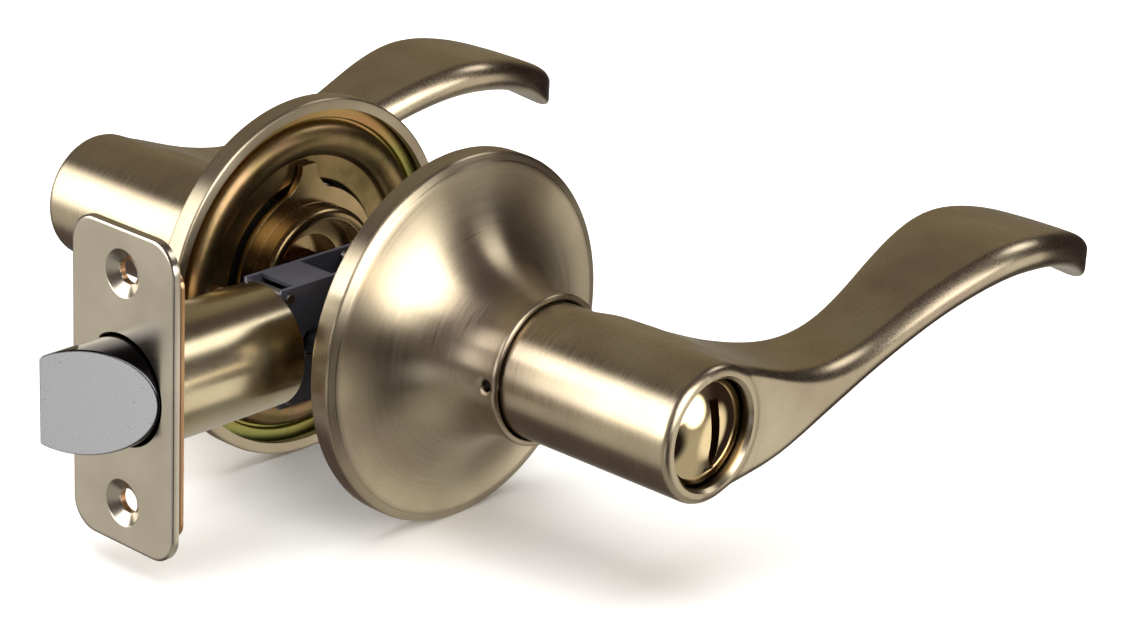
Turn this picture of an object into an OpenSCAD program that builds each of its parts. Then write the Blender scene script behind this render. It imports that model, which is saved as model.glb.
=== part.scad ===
// Privacy lever lockset: two levers on round roses, a tubular latch, and the turn-button lock inside.
// The spindle axis is Y and the latch axis is X. They cross at the origin, in the middle of the door.
// The inside of the room is -Y, the latch bolt points to -X, and both levers point to +X.

/* [Door] */
// Door thickness between the two roses
door_t = 35; // [33:0.5:45]
// Distance from the faceplate's front to the spindle axis
backset = 60; // [55:1:80]

/* [Rose] */
// Outer diameter of a rose
rose_d = 67.6; // [64:0.2:84]
// Height of a rose, from the door to its neck's front edge
rose_h = 23.7; // [22:0.1:32]
// Height of the straight rim at the door
rim_h = 3.4; // [2.8:0.1:4.2]
// Outer diameter of the neck
neck_d = 27; // [26.6:0.1:34]
// Sheet thickness of a rose
rose_wall = 0.9; // [0.7:0.1:1]
// Length of the straight neck
neck_len = 3.7; // [3.2:0.1:5]
// Diameter of the hole for the release pin
pin_hole_d = 2.2; // [1.6:0.1:3]

/* [Lever] */
// Diameter of a lever's round shank
hub_d = 24.4; // [21:0.1:24.4]
// Distance from the door to a lever's flat end
lever_proj = 60.5; // [56:0.5:75]
// Length from the spindle axis to the lever's tip
lever_len = 120; // [95:1:145]
// Thickness of the blade at its slimmest
blade_t = 7; // [6:0.1:9]
// Width of the blade at its widest
blade_w = 25; // [18:0.5:30]
// Width of the blade at its waist
waist_w = 16.5; // [12:0.5:20]
// How far the blade dips below the axis, near its root
wave_dip = 1.9; // [0:0.1:4]
// How far the blade's crest stands above the axis
wave_crest = 11.5; // [6:0.5:16]
// Distance from the axis to the dip
dip_at = 22; // [16:1:28]
// Distance from the axis to the crest
crest_at = 83; // [70:1:95]
// How far the tip ends below the axis
tip_drop = 1; // [0:0.5:5]
// Turn of a lever from rest to its stop, in degrees
lever_swing = 62; // [45:1:65]

/* [Turn button] */
// Diameter of the button
button_d = 18.4; // [15:0.2:19]
// Rise of the button's dome
button_rise = 2.2; // [1.5:0.1:4]
// Length of the button's slot
slot_len = 12.6; // [9:0.1:14]
// Width of the button's slot
slot_w = 2; // [1.4:0.1:3]

/* [Mounting] */
// Distance from the spindle axis to each mounting screw
screw_x = 21; // [20.8:0.1:22]
// Diameter of a mounting screw
screw_d = 4; // [3:0.5:4]
// Diameter of a mounting screw's head
head_d = 7.2; // [6:0.2:7.6]
// Thickness of the mounting plates
plate_t = 1.2; // [1:0.1:1.4]

/* [Latch] */
// Height of the faceplate
face_h = 57.2; // [54:0.2:70]
// Width of the faceplate
face_w = 25.4; // [25.4:0.1:32]
// Thickness of the faceplate
face_t = 1.6; // [1.2:0.1:2.5]
// Corner radius of the faceplate
face_r = 5.2; // [0.5:0.1:8]
// Height of the plate behind the faceplate
back_h = 48; // [46.6:0.2:52]
// Thickness of the plate behind the faceplate
back_t = 1; // [0.8:0.1:1.6]
// Distance between the two faceplate screw holes
hole_span = 41.3; // [36:0.1:43]
// Diameter of a faceplate screw hole
hole_d = 4.4; // [3.5:0.1:5]
// Diameter of a countersink
sink_d = 8.6; // [7:0.1:9]
// Outer diameter of the latch tube
tube_d = 22.2; // [22.2:0.1:24]
// Wall of the latch tube
tube_wall = 1; // [0.8:0.1:1]
// Diameter of the bolt
bolt_d = 18.8; // [18:0.1:18.8]
// How far the bolt stands out of the faceplate
bolt_out = 13.4; // [12.7:0.1:14]
// Offset of the bolt's flat side from the latch axis
bolt_flat = 5.3; // [4:0.1:6]

/* [Hidden] */

$fn = 64;
eps = 0.01;        // overlap that makes a cut run right through
run_fit = 0.1;     // radial clearance of a shaft in its bearing
seat_fit = 0.05;   // radial clearance of a part that is fixed in another
free_gap = 0.3;    // clearance between parts that pass each other

// colours
antique = "#8f8064";
dichromate = "#a08a52";
bright_brass = "#d8c29a";
chrome = "#c8c8ca";
gunmetal = "#4a4a52";
steel = "#9a9a9c";
satin_nickel = "#c2b9a2";
copper_flash = "#b08a68";
tube_gold = "#b9a988";

door_face = door_t / 2;

// rose
rose_r = rose_d / 2;
rim_step = 2.1;                       // from the rim's outside to the start of the bell
bell_r = rose_r - rim_step;
bell_y = door_face + rim_h + 1.3;     // where the bell leaves the rim
neck_r = neck_d / 2;
neck_front = door_face + rose_h;
neck_y = neck_front - neck_len;       // where the bell meets the neck
neck_bore_r = neck_r - rose_wall;
rim_wall = 1.2;
lip_h = 1.4;                          // height of the rolled lip that holds the mounting plate
lip_wall = 2.1;

// spring housing, driver and cover
flange_y = door_face + 2.1;
flange_r = rose_r - rim_wall - 0.2;
face_y = door_face + 0.4;             // door-side face of the mounting plate
cup_r = flange_r - 3;
floor_y = face_y + 2.4;               // sunk floor that the driver's tab swings over
disc_r = screw_x - head_d / 2 - free_gap;   // clears the screw heads beside it
disc_t = 1.4;
disc_y = door_face + 1.1;
plate_bore_r = disc_r + 0.7;
track_r = plate_bore_r + 4.9;         // outside of the sunk floor
bulge_mid = (track_r + cup_r) / 2;    // the round bead between the floor and the flange
bulge_half = (cup_r - track_r) / 2;
tab_r = track_r - 1.1;
tab_tip_w = 3.6;
tab_root_w = 15;
lip_r = 14;                           // rolled lip round the driver's mouth
lip_in = 11.5;
driver_lip = 4;                       // how far that lip stands out towards the latch
sleeve_r = 9.4;
sleeve_wall = 1.4;
sleeve_in = sleeve_r - sleeve_wall;
sleeve_end = door_face + lever_proj - 20;
web_y = disc_y + disc_t + 2;          // web in the sleeve that the spindle turns
web_t = 3.5;
cover_y = door_face + 5.1;
cover_t = 1;
cover_r = 17.2;
post_d = 2.6;
post_orbit = plate_bore_r + post_d / 2 + 0.1;
post_angles = [125, 180, 235];        // measured from the top of the rose
wire_d = 1;                           // return spring
coil_r = 13.6;
coil_pitch = 1.05;
leg_r = disc_r - 0.3;
leg_angle = 96;                       // fixed end of the spring, measured from the top
ear_w = 2;                            // ear on the plate that this end rests on
lug_angle = -18;                      // spring lug on the driver, measured from the top
lug_w = 2.4;
ring_t = 1;
ring_r = 11.4;
boss_r = 2.85;                        // threaded boss for a mounting screw
boss_h = 1.2;                         // how far a boss stands out of the floor towards the latch
boss_depth = 1.9;                     // how deep it is behind that face
head_h = 2;                           // mounting screw's head
hub_start = cover_y + cover_t + ring_t + 0.4;

// lever
hub_r = hub_d / 2;
hub_face = door_face + lever_proj;
hub_bore_r = sleeve_r + seat_fit;
hub_round = 1.2;
cap_len = 8;                          // length of the rounded tip
waist_at = 46;
wide_at = crest_at + 4;
blade_mid_y = hub_face - 8.6;         // middle of the blade's width, past the waist
root_extra = 7.5;                     // how much wider each half of the blade is at its root
ridge_power = 0.5;                    // squareness of the blade's section: 1 is an ellipse
blade_steps = 30;
cap_steps = 7;
hub_web = 6;                          // wall between the sleeve's bore and the button's recess
recess_r = button_d / 2 + 0.4;
recess_depth = 6;
bore_end = hub_face - recess_depth - hub_web;
button_boss_r = 3;
button_boss_len = 4;                  // how far the button's boss reaches past the wall
button_base_y = hub_face - recess_depth + 0.4;
button_edge_y = hub_face - button_rise + 0.3;
slot_depth = 1.6;

// spindle, cam and lock
spindle_w = 7;
spindle_half = web_y + web_t + 2;
stem_d = 4;
stem_r = stem_d / 2;
stem_bore_r = stem_r + free_gap;
cam_hub_r = 7;
cam_trunnion_r = 5.9;
cam_r = 11.4;                         // orbit of the finger's tip
finger_tip_r = 1;
finger_lean = lever_swing / 2;        // the finger leans back by half its swing
finger_y0 = 0.4;
finger_y1 = 3.4;
bolt_throw = 2 * cam_r * sin(finger_lean);

// latch
face_front = -backset;
face_back = face_front + face_t;
back_back = face_back + back_t;
tube_r = tube_d / 2;
tube_in = tube_r - tube_wall;
tube_end = -28.5;
bolt_r = bolt_d / 2;
bolt_tip = face_front - bolt_out;
bolt_back = face_back + 11.4;
bevel_back = face_front - 0.4;        // where the bevel reaches the bolt's near side
case_half_w = 4.8;
case_half_h = 11;
case_wall = 0.8;
case_end = 13;
case_tab = [-25, -16];                // top and bottom tabs, along X
rivet_r = 1;
rivet_spots = [[-26.8, 9.2], [-26.8, -9.2], [10.8, 4], [10.8, -4]];
bolt_pin_r = 1.5;
bolt_pin_x = bolt_back - 2.6;
seat_x = tube_end - 3;                // front of the plug in the tube, where the bolt spring rests
tail_y0 = -3.4;
tail_y1 = -0.4;
tail_half = 6.5;
plug_half_h = 8.4;                    // half height of the case where it enters the tube
wave_ease = 1.12;                     // above 1 the blade climbs later
tip_ease = 1.9;                       // above 1 the tip falls later
tail_slot_half = screw_d / 2 + 0.8;
arm_z0 = cam_trunnion_r + 0.4;
arm_z1 = 9;
lug_x0 = -cam_r * sin(finger_lean) + finger_tip_r + 0.6;
lug_len = 3;
lug_z0 = 9.2;
lug_z1 = 12.2;
spring_wire = 0.8;
spring_r = 8.55;
spring_turns = 4;

// catch
catch_y = neck_front - 2.4;
catch_d = 3.8;
catch_nose = 11.5;                    // tip of the catch, from the spindle axis
catch_flange_d = 5.6;
catch_flange_x = 7.3;
catch_flange_t = 1;
guide_x = 3.2;
guide_t = 0.8;

// Turns a shape drawn along +Z so that its axis runs along +Y.
module along_y() { rotate([-90, 0, 0]) children(); }

// Turns a shape drawn along +Z so that its axis runs along +X.
module along_x() { rotate([0, 90, 0]) children(); }

// Moves something to an angle measured from the top, towards +X, at the radius r.
module at_clock(angle, r) { rotate([0, angle, 0]) translate([0, 0, r]) children(); }

// A ring round the Y axis between y0 and y1.
module ring_y(r_out, r_in, y0, y1) {
    translate([0, y0, 0]) along_y() difference() {
        cylinder(r = r_out, h = y1 - y0);
        translate([0, 0, -1]) cylinder(r = r_in, h = y1 - y0 + 2);
    }
}

// Points of a quarter ellipse about c, from angle a0 to a1.
function arc(c, rx, ry, a0, a1, n) =
    [for (i = [0:n]) let (a = a0 + (a1 - a0) * i / n) c + [rx * cos(a), ry * sin(a)]];

// ---- roses ----

// Outline of the pressed rose: rim, bell, neck, and back along the inside of the sheet.
function rose_outline() = concat(
    [[rose_r - lip_wall, door_face], [rose_r, door_face]],
    arc([rose_r - 1.4, bell_y - 1.4], 1.4, 1.4, 0, 90, 6),
    arc([bell_r, neck_y], bell_r - neck_r, neck_y - bell_y, -90, -180, 20),
    arc([neck_r - 0.4, neck_front - 0.4], 0.4, 0.4, 0, 90, 3),
    [[neck_bore_r, neck_front]],
    arc([bell_r, neck_y], bell_r - neck_bore_r, neck_y - bell_y + rose_wall, -180, -90, 20),
    [[rose_r - rim_wall, bell_y - rose_wall], [rose_r - rim_wall, door_face + lip_h],
     [rose_r - lip_wall, door_face + lip_h]]
);

module rose_shell() {
    along_y() rotate_extrude($fn = 96) polygon(rose_outline());
}

module outer_rose() {
    color(antique) rose_shell();
}

module inner_rose() {
    color(antique) difference() {
        mirror([0, 1, 0]) rose_shell();
        translate([-neck_r - 2, -catch_y, 0]) along_x() cylinder(d = pin_hole_d, h = 6, $fn = 24);
    }
}

// ---- mounting plates ----

// Outline of the drawn plate: open middle, sunk floor, round bead and flange.
function plate_outline() = concat(
    [[plate_bore_r, floor_y]],
    arc([bulge_mid, floor_y], bulge_half, floor_y - face_y, 180, 340, 14),
    [[cup_r, flange_y], [flange_r, flange_y], [flange_r, flange_y + plate_t],
     [cup_r - plate_t, flange_y + plate_t]],
    arc([bulge_mid, floor_y], bulge_half - plate_t, floor_y - face_y - plate_t, 340, 180, 14),
    [[track_r + plate_t, floor_y + plate_t], [plate_bore_r, floor_y + plate_t]]
);

module plate_body() {
    ear_turn = asin(ear_w / 2 / leg_r) + asin((wire_d / 2 + 0.05) / leg_r);
    along_y() rotate_extrude($fn = 96) polygon(plate_outline());
    for (a = post_angles) at_clock(a, post_orbit) translate([0, floor_y + plate_t / 2, 0])
        along_y() cylinder(d = post_d, h = cover_y - floor_y - plate_t / 2, $fn = 24);
    rotate([0, leg_angle + ear_turn, 0]) translate([-ear_w / 2, floor_y, leg_r - 1])
        cube([ear_w, plate_t + 0.7, plate_bore_r - leg_r + 1.5]);
}

module outer_mounting_plate() {
    color(dichromate) difference() {
        union() {
            plate_body();
            for (x = [-screw_x, screw_x]) translate([x, floor_y - boss_h, 0])
                along_y() cylinder(r = boss_r, h = boss_h + boss_depth, $fn = 32);
        }
        for (x = [-screw_x, screw_x]) translate([x, face_y - 1, 0])
            along_y() cylinder(d = screw_d + 2 * seat_fit, h = floor_y - face_y + boss_depth + 2, $fn = 32);
    }
}

// The inner plate has a raised pad under each screw's head.
module inner_mounting_plate() {
    color(dichromate) mirror([0, 1, 0]) difference() {
        union() {
            difference() {
                plate_body();
                for (x = [-screw_x, screw_x]) translate([x, face_y + plate_t, 0])
                    along_y() cylinder(d = head_d + 2 * free_gap, h = 2 * plate_t + 2, $fn = 48);
            }
            for (x = [-screw_x, screw_x]) translate([x, face_y, 0])
                along_y() cylinder(d = head_d + 1, h = plate_t, $fn = 48);
        }
        for (x = [-screw_x, screw_x]) translate([x, face_y - 1, 0])
            along_y() cylinder(d = screw_d + 0.6, h = plate_t + 2, $fn = 32);
        translate([0, face_y - 1, 0]) along_y() cylinder(r = plate_bore_r, h = plate_t + 2);
    }
}

// Disc that closes the spring housing, with an ear for each post.
module spring_cover() {
    ring_y(cover_r, sleeve_r + run_fit, cover_y, cover_y + cover_t);
    for (a = post_angles) hull() for (r = [cover_r - 2, post_orbit])
        at_clock(a, r) translate([0, cover_y, 0]) along_y() cylinder(d = post_d, h = cover_t, $fn = 32);
}

module outer_spring_cover() { color(steel) spring_cover(); }
module inner_spring_cover() { color(steel) mirror([0, 1, 0]) spring_cover(); }

// Two turns of wire. The first leg rests on the driver's lug, the other on the plate.
module return_spring() {
    coil_y = disc_y + disc_t + wire_d / 2 + 0.25;
    lug_half = asin(lug_w / 2 / leg_r) + asin((wire_d / 2 + 0.05) / leg_r);
    for (i = [0:1]) translate([0, coil_y + i * coil_pitch, 0]) along_y()
        rotate_extrude($fn = 64) translate([coil_r, 0]) circle(d = wire_d, $fn = 16);
    rotate([0, lug_angle - lug_half, 0]) translate([0, coil_y, coil_r])
        cylinder(d = wire_d - 0.1, h = leg_r - coil_r, $fn = 16);
    rotate([0, leg_angle, 0]) translate([0, coil_y + coil_pitch, coil_r])
        cylinder(d = wire_d - 0.1, h = leg_r - coil_r, $fn = 16);
}

module outer_return_spring() { color(steel) return_spring(); }
module inner_return_spring() { color(steel) mirror([0, 1, 0]) return_spring(); }

// ---- drivers ----

// The turning cup: disc with its tab, rolled mouth, sleeve for the lever and web for the spindle.
module driver(side_hole) {
    difference() {
        union() {
            ring_y(disc_r, lip_in, disc_y, disc_y + disc_t);
            ring_y(lip_in + 1, sleeve_in, disc_y, disc_y + disc_t);
            translate([0, disc_y + disc_t, 0]) rotate([90, 0, 0]) linear_extrude(disc_t)
                polygon(tab_outline());
            along_y() rotate_extrude($fn = 96) polygon(mouth_outline());
            ring_y(sleeve_r, sleeve_in, disc_y, sleeve_end);
            ring_y(sleeve_in + 0.2, stem_bore_r, web_y, web_y + web_t);
            rotate([0, lug_angle, 0]) translate([-lug_w / 2, disc_y, disc_r - 2])
                cube([lug_w, disc_t + 2.4, 1.8]);
        }
        translate([-spindle_w / 2 - seat_fit, web_y - 1, -spindle_w / 2 - seat_fit])
            cube([spindle_w + 2 * seat_fit, web_t + 2, spindle_w + 2 * seat_fit]);
        if (side_hole) translate([-sleeve_r - 2, catch_y, 0]) along_x()
            cylinder(d = catch_d + 2 * run_fit, h = 6, $fn = 32);
    }
}

// The tab narrows to its tip between two hollow sides.
function tab_side(s) = [for (i = [0:8]) let (t = i / 8)
    [s * (tab_tip_w / 2 + (tab_root_w - tab_tip_w) / 2 * pow(1 - t, 2.4)),
     disc_r - 2.4 + (tab_r - disc_r + 2.4) * t]];

function tab_outline() = concat(tab_side(-1), [for (i = [8:-1:0]) tab_side(1)[i]]);

// The rolled lip is a tube with a round front edge.
function mouth_outline() = concat(
    [[lip_in, disc_y + disc_t]],
    arc([lip_in + 0.9, disc_y - driver_lip + 0.9], 0.9, 0.9, 180, 270, 5),
    arc([lip_r - 1.3, disc_y - driver_lip + 1.3], 1.3, 1.3, 270, 360, 6),
    [[lip_r, disc_y + disc_t]]
);

module outer_driver() { color(dichromate) driver(false); }
module inner_driver() { color(dichromate) mirror([0, 1, 0]) driver(true); }

// An open ring that snaps round the sleeve behind the cover.
module retaining_ring() {
    difference() {
        ring_y(ring_r, sleeve_r + seat_fit, cover_y + cover_t + 0.2, cover_y + cover_t + 0.2 + ring_t);
        translate([-2, cover_y, -ring_r - 1]) cube([4, 4, ring_r]);
    }
}

module outer_retaining_ring() { color(steel) retaining_ring(); }
module inner_retaining_ring() { color(steel) mirror([0, 1, 0]) retaining_ring(); }

// ---- levers ----

function ease(t) = t * t * (3 - 2 * t);
function mix(a, b, t) = a + (b - a) * t;
function clamp01(t) = min(1, max(0, t));
function between(a, b, x) = clamp01((x - a) / (b - a));

// Height of the blade's middle line: down into the dip, up over the crest, down to the tip.
function mid_z(x) =
    x < dip_at ? -wave_dip * ease(x / dip_at) :
    x < crest_at ? mix(-wave_dip, wave_crest, ease(pow(between(dip_at, crest_at, x), wave_ease))) :
    wave_crest - (wave_crest + tip_drop) * pow(between(crest_at, lever_len, x), tip_ease);

// Half the blade's thickness: the shank's radius at the root, then slimmer up to the waist.
function half_z(x) =
    mix(blade_t / 2 + 0.4, hub_r - 0.15, pow(1 - pow(between(0, waist_at, x), 1.5), 2));

// Half the blade's width: narrow waist, full leaf, round end.
function half_y(x) =
    x < waist_at ? waist_w / 2 + root_extra * pow(1 - x / waist_at, 2) :
    x < wide_at ? mix(waist_w, blade_w, ease(between(waist_at, wide_at, x))) / 2 :
    blade_w / 2 * pow(1 - pow(between(wide_at, lever_len, x), 1.6), 0.62);

// Middle of the blade's width. Up to the waist its outer edge stays with the lever's end face.
function mid_y(x) = x < waist_at ? hub_face - half_y(x) :
    mix(hub_face - waist_w / 2, blade_mid_y, ease(between(waist_at, waist_at + 20, x)));

// One cross-section at x: a rounded box, its height shrunk by h.
function blade_ring(x, h) = [for (i = [0:27]) let (
        a = 360 * i / 28,
        c = cos(a),
        s = sin(a)
    ) [x,
       mid_y(x) + half_y(x) * sign(c) * pow(abs(c), ridge_power),
       mid_z(x) + half_z(x) * h * sign(s) * pow(abs(s), ridge_power)]];

// Sections along the body of the blade, then round the tip.
function blade_rings() = concat(
    [for (i = [0:blade_steps]) blade_ring((lever_len - cap_len) * i / blade_steps, 1)],
    [for (i = [1:cap_steps]) let (a = 84 * i / cap_steps)
        blade_ring(lever_len - cap_len * (1 - sin(a) / sin(84)) - eps, pow(cos(a), 0.35))]
);

module blade() {
    rings = blade_rings();
    n = len(rings[0]);
    m = len(rings);
    points = [for (r = rings) for (p = r) p];
    sides = [for (j = [0:m - 2]) for (i = [0:n - 1]) let (k = (i + 1) % n)
        [j * n + i, (j + 1) * n + i, (j + 1) * n + k, j * n + k]];
    polyhedron(
        points = points,
        faces = concat([[for (i = [0:n - 1]) i]], sides, [[for (i = [n - 1:-1:0]) (m - 1) * n + i]]),
        convexity = 6
    );
}

// Shank with its rounded front edge.
module shank() {
    along_y() rotate_extrude($fn = 96) polygon(concat(
        [[0, hub_start], [hub_r, hub_start]],
        arc([hub_r - hub_round, hub_face - hub_round], hub_round, hub_round, 0, 90, 6),
        [[0, hub_face]]
    ));
}

module lever_body() {
    difference() {
        union() {
            shank();
            blade();
        }
        translate([0, hub_start - 1, 0]) along_y() cylinder(r = hub_bore_r, h = bore_end - hub_start + 1);
        translate([-20, hub_face, -20]) cube([20 + dip_at, 10, 40]);
    }
}

module outer_lever() {
    color(antique) difference() {
        lever_body();
        translate([0, bore_end - 1, 0]) along_y()
            cylinder(d = stem_d - 0.8, h = hub_face - bore_end + 2, $fn = 32);
    }
}

module inner_lever() {
    color(antique) mirror([0, 1, 0]) difference() {
        lever_body();
        translate([0, hub_face - recess_depth, 0]) along_y() cylinder(r = recess_r, h = recess_depth + 1);
        translate([0, bore_end - 1, 0]) along_y()
            cylinder(r = button_boss_r + free_gap, h = hub_web + 2, $fn = 32);
        translate([-hub_r - 1, catch_y, 0]) along_x() cylinder(d = catch_d + 0.4, h = 6, $fn = 32);
    }
}

// ---- spindle, cam and lock ----

module spindle() {
    color(bright_brass) difference() {
        translate([-spindle_w / 2, -spindle_half, -spindle_w / 2])
            cube([spindle_w, 2 * spindle_half, spindle_w]);
        translate([0, -spindle_half - 1, 0]) along_y()
            cylinder(r = stem_bore_r, h = 2 * spindle_half + 2, $fn = 32);
    }
}

// Finger from the cam's hub out to its round tip.
module cam_finger(angle) {
    hull() {
        at_clock(angle, cam_r) translate([0, finger_y0, 0])
            along_y() cylinder(r = finger_tip_r, h = finger_y1 - finger_y0, $fn = 32);
        at_clock(angle, cam_hub_r - 2) translate([0, finger_y0, 0])
            along_y() cylinder(r = finger_tip_r * 0.8, h = finger_y1 - finger_y0, $fn = 32);
    }
}

module latch_cam() {
    trunnion = case_half_w + 0.8;
    color(steel) difference() {
        union() {
            ring_y(cam_trunnion_r, 1, -trunnion, trunnion);
            ring_y(cam_hub_r, 1, finger_y0, finger_y1);
            cam_finger(-finger_lean);
            cam_finger(180 + finger_lean);
        }
        translate([-spindle_w / 2 - seat_fit, -10, -spindle_w / 2 - seat_fit])
            cube([spindle_w + 2 * seat_fit, 20, spindle_w + 2 * seat_fit]);
    }
}

// Domed button with its slot and the boss that holds the stem.
module turn_button() {
    button_r = button_d / 2;
    dome_r = (button_r * button_r + button_rise * button_rise) / (2 * button_rise);
    color(bright_brass) mirror([0, 1, 0]) difference() {
        union() {
            translate([0, button_base_y, 0]) along_y()
                cylinder(r = button_r, h = button_edge_y - button_base_y);
            intersection() {
                translate([0, button_edge_y - eps, 0]) along_y() cylinder(r = button_r, h = 10);
                translate([0, button_edge_y + button_rise - dome_r, 0]) sphere(r = dome_r, $fn = 96);
            }
            translate([0, bore_end - button_boss_len, 0]) along_y() cylinder(
                r = button_boss_r, h = button_base_y - bore_end + button_boss_len + eps, $fn = 32);
        }
        translate([-slot_w / 2, hub_face - slot_depth, -slot_len / 2])
            cube([slot_w, slot_depth + button_rise, slot_len]);
        translate([0, bore_end - button_boss_len - 1, 0]) along_y()
            cylinder(r = stem_r + seat_fit, h = 2 * button_boss_len + 1, $fn = 32);
    }
}

// Rod from the button, through the spindle, to the release hole in the outer lever.
module lock_stem() {
    stem_in = bore_end + button_boss_len - 0.1;
    stem_out = bore_end - 3;
    notch_w = 1;
    notch_depth = 1.5;
    color(steel) difference() {
        translate([0, -stem_in, 0]) along_y() cylinder(r = stem_r, h = stem_in + stem_out, $fn = 32);
        translate([-notch_w / 2, stem_out - notch_depth, -stem_d])
            cube([notch_w, 2 * notch_depth, 2 * stem_d]);
    }
}

// Cross bar on the stem that blocks the outer driver when it is turned.
module lock_cam() {
    cam_y = web_y + web_t + 3;
    bar = [13, 3, 6];
    color(steel) difference() {
        translate([-bar[0] / 2, cam_y, -bar[2] / 2]) cube(bar);
        translate([0, cam_y - 1, 0]) along_y() cylinder(r = stem_r + seat_fit, h = bar[1] + 2, $fn = 32);
    }
}

// ---- catch ----

// Plunger through the sleeve and the shank, with the flange that its spring pushes.
module lever_catch() {
    color(steel) translate([0, -catch_y, 0]) {
        translate([-catch_nose, 0, 0]) along_x()
            cylinder(d = catch_d, h = catch_nose - catch_flange_x + eps, $fn = 32);
        translate([-catch_flange_x, 0, 0]) along_x() cylinder(d = catch_flange_d, h = catch_flange_t, $fn = 32);
    }
}

// Bridge across the sleeve that the catch's spring pushes against.
module catch_guide() {
    half_w = 3;
    reach = sqrt(pow(sleeve_in, 2) - pow(guide_x, 2)) - 0.02;
    color(steel) translate([-guide_x, -catch_y - half_w, -reach]) cube([guide_t, 2 * half_w, 2 * reach]);
}

module catch_spring() {
    wire = 0.35;
    from_x = -catch_flange_x + catch_flange_t;
    length = -guide_x - from_x;
    turns = 3;
    color(steel) translate([0, -catch_y, 0]) for (i = [0:turns - 1])
        translate([from_x + wire / 2 + (length - wire) * i / (turns - 1), 0, 0]) along_x()
            rotate_extrude($fn = 32) translate([1.9, 0]) circle(d = wire, $fn = 16);
}

// ---- latch ----

// Plate in the Y-Z plane, from x0, with rounded corners.
module edge_plate(x0, t, w, h, r) {
    translate([x0, 0, 0]) hull() for (y = [-1, 1], z = [-1, 1])
        translate([0, y * (w / 2 - r), z * (h / 2 - r)]) along_x() cylinder(r = r, h = t, $fn = 32);
}

// The bolt's round section with its flat side, grown by gap.
module bolt_section(gap) {
    intersection() {
        circle(r = bolt_r + gap);
        translate([-20, -20]) square([40, 20 + bolt_flat + gap]);
    }
}

// Extrudes a Y-Z drawing along X from x0 to x1.
module along_latch(x0, x1) {
    translate([x0, 0, 0]) rotate([90, 0, 90]) linear_extrude(x1 - x0) children();
}

module faceplate_holes(x0, x1) {
    for (z = [-hole_span / 2, hole_span / 2]) translate([x0 - 1, 0, z])
        along_x() cylinder(d = hole_d, h = x1 - x0 + 2, $fn = 32);
}

module latch_faceplate() {
    color(satin_nickel) difference() {
        edge_plate(face_front, face_t, face_w, face_h, face_r);
        along_latch(face_front - 1, face_back + 1) bolt_section(free_gap);
        faceplate_holes(face_front, face_back);
        for (z = [-hole_span / 2, hole_span / 2]) translate([face_front - eps, 0, z]) along_x()
            cylinder(d1 = sink_d, d2 = hole_d, h = (sink_d - hole_d) / 2 * 0.7, $fn = 48);
    }
}

module latch_backplate() {
    color(copper_flash) difference() {
        edge_plate(face_back, back_t, face_w, back_h, 3);
        along_latch(face_back - 1, back_back + 1) bolt_section(free_gap);
        faceplate_holes(face_back, back_back);
    }
}

module latch_tube() {
    color(tube_gold) translate([back_back, 0, 0]) along_x() difference() {
        cylinder(r = tube_r, h = tube_end - back_back);
        translate([0, 0, -1]) cylinder(r = tube_in, h = tube_end - back_back + 2);
    }
}

// Folded case: a plug in the tube, two side walls, tabs over the top and bottom, and an end wall.
module latch_case() {
    inner_w = case_half_w - case_wall;
    inner_h = case_half_h - case_wall;
    color(gunmetal) difference() {
        union() {
            translate([seat_x, 0, 0]) along_x() cylinder(r = tube_in - seat_fit, h = 1);
            translate([seat_x, -case_half_w, -plug_half_h])
                cube([3.5, 2 * case_half_w, 2 * plug_half_h]);
            for (y = [-case_half_w, inner_w]) translate([tube_end, y, -case_half_h])
                cube([case_end - tube_end, case_wall, 2 * case_half_h]);
            for (z = [-case_half_h, inner_h]) translate([case_tab[0], -case_half_w, z])
                cube([case_tab[1] - case_tab[0], 2 * case_half_w, case_wall]);
            translate([case_end - case_wall, -case_half_w, -case_half_h])
                cube([case_wall, 2 * case_half_w, 2 * case_half_h]);
        }
        translate([seat_x - 1, -inner_w + 0.2, -tail_half - free_gap])
            cube([6, 2 * inner_w - 0.4, 2 * (tail_half + free_gap)]);
        translate([0, -10, 0]) along_y() cylinder(r = cam_trunnion_r + run_fit, h = 20);
        translate([-screw_x, -10, 0]) along_y() cylinder(d = screw_d + 1, h = 20, $fn = 32);
        for (spot = rivet_spots) translate([spot[0], -case_half_w - 1, spot[1]])
            along_y() cylinder(r = rivet_r + seat_fit, h = 2 * case_half_w + 2, $fn = 24);
    }
}

// Rivets that tie the two side walls together.
module case_rivets() {
    head = 0.5;
    color(steel) for (spot = rivet_spots) translate([spot[0], -case_half_w - head, spot[1]])
        along_y() cylinder(r = rivet_r, h = 2 * (case_half_w + head), $fn = 24);
}

module mounting_screws() {
    head_y = -(face_y + plate_t + head_h);
    color(steel) for (x = [-screw_x, screw_x]) difference() {
        translate([x, head_y, 0]) along_y() {
            cylinder(d = head_d, h = head_h, $fn = 32);
            cylinder(d = screw_d, h = floor_y + boss_depth - head_y - 0.4, $fn = 32);
        }
        for (a = [0, 90]) translate([x, head_y - 1, 0]) rotate([0, a, 0])
            translate([-0.5, 0, -2]) cube([1, 2, 4]);
    }
}

// ---- bolt ----

module latch_bolt() {
    slope = 40;
    color(chrome) difference() {
        along_latch(bolt_tip, bolt_back) bolt_section(0);
        // the bevel, from the tip's far edge back to the near side
        translate([0, 0, -20]) linear_extrude(40) polygon([
            [bolt_tip, bolt_flat], [bevel_back, -bolt_r],
            [bevel_back - slope, -bolt_r - slope], [bolt_tip - slope, bolt_flat]
        ]);
        translate([bolt_back - 5.4, tail_y0 - seat_fit, -tail_half - seat_fit])
            cube([8, tail_y1 - tail_y0 + 2 * seat_fit, 2 * (tail_half + seat_fit)]);
        translate([bolt_pin_x, -bolt_d, 0]) along_y()
            cylinder(r = bolt_pin_r + seat_fit, h = 2 * bolt_d, $fn = 32);
    }
}

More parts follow.
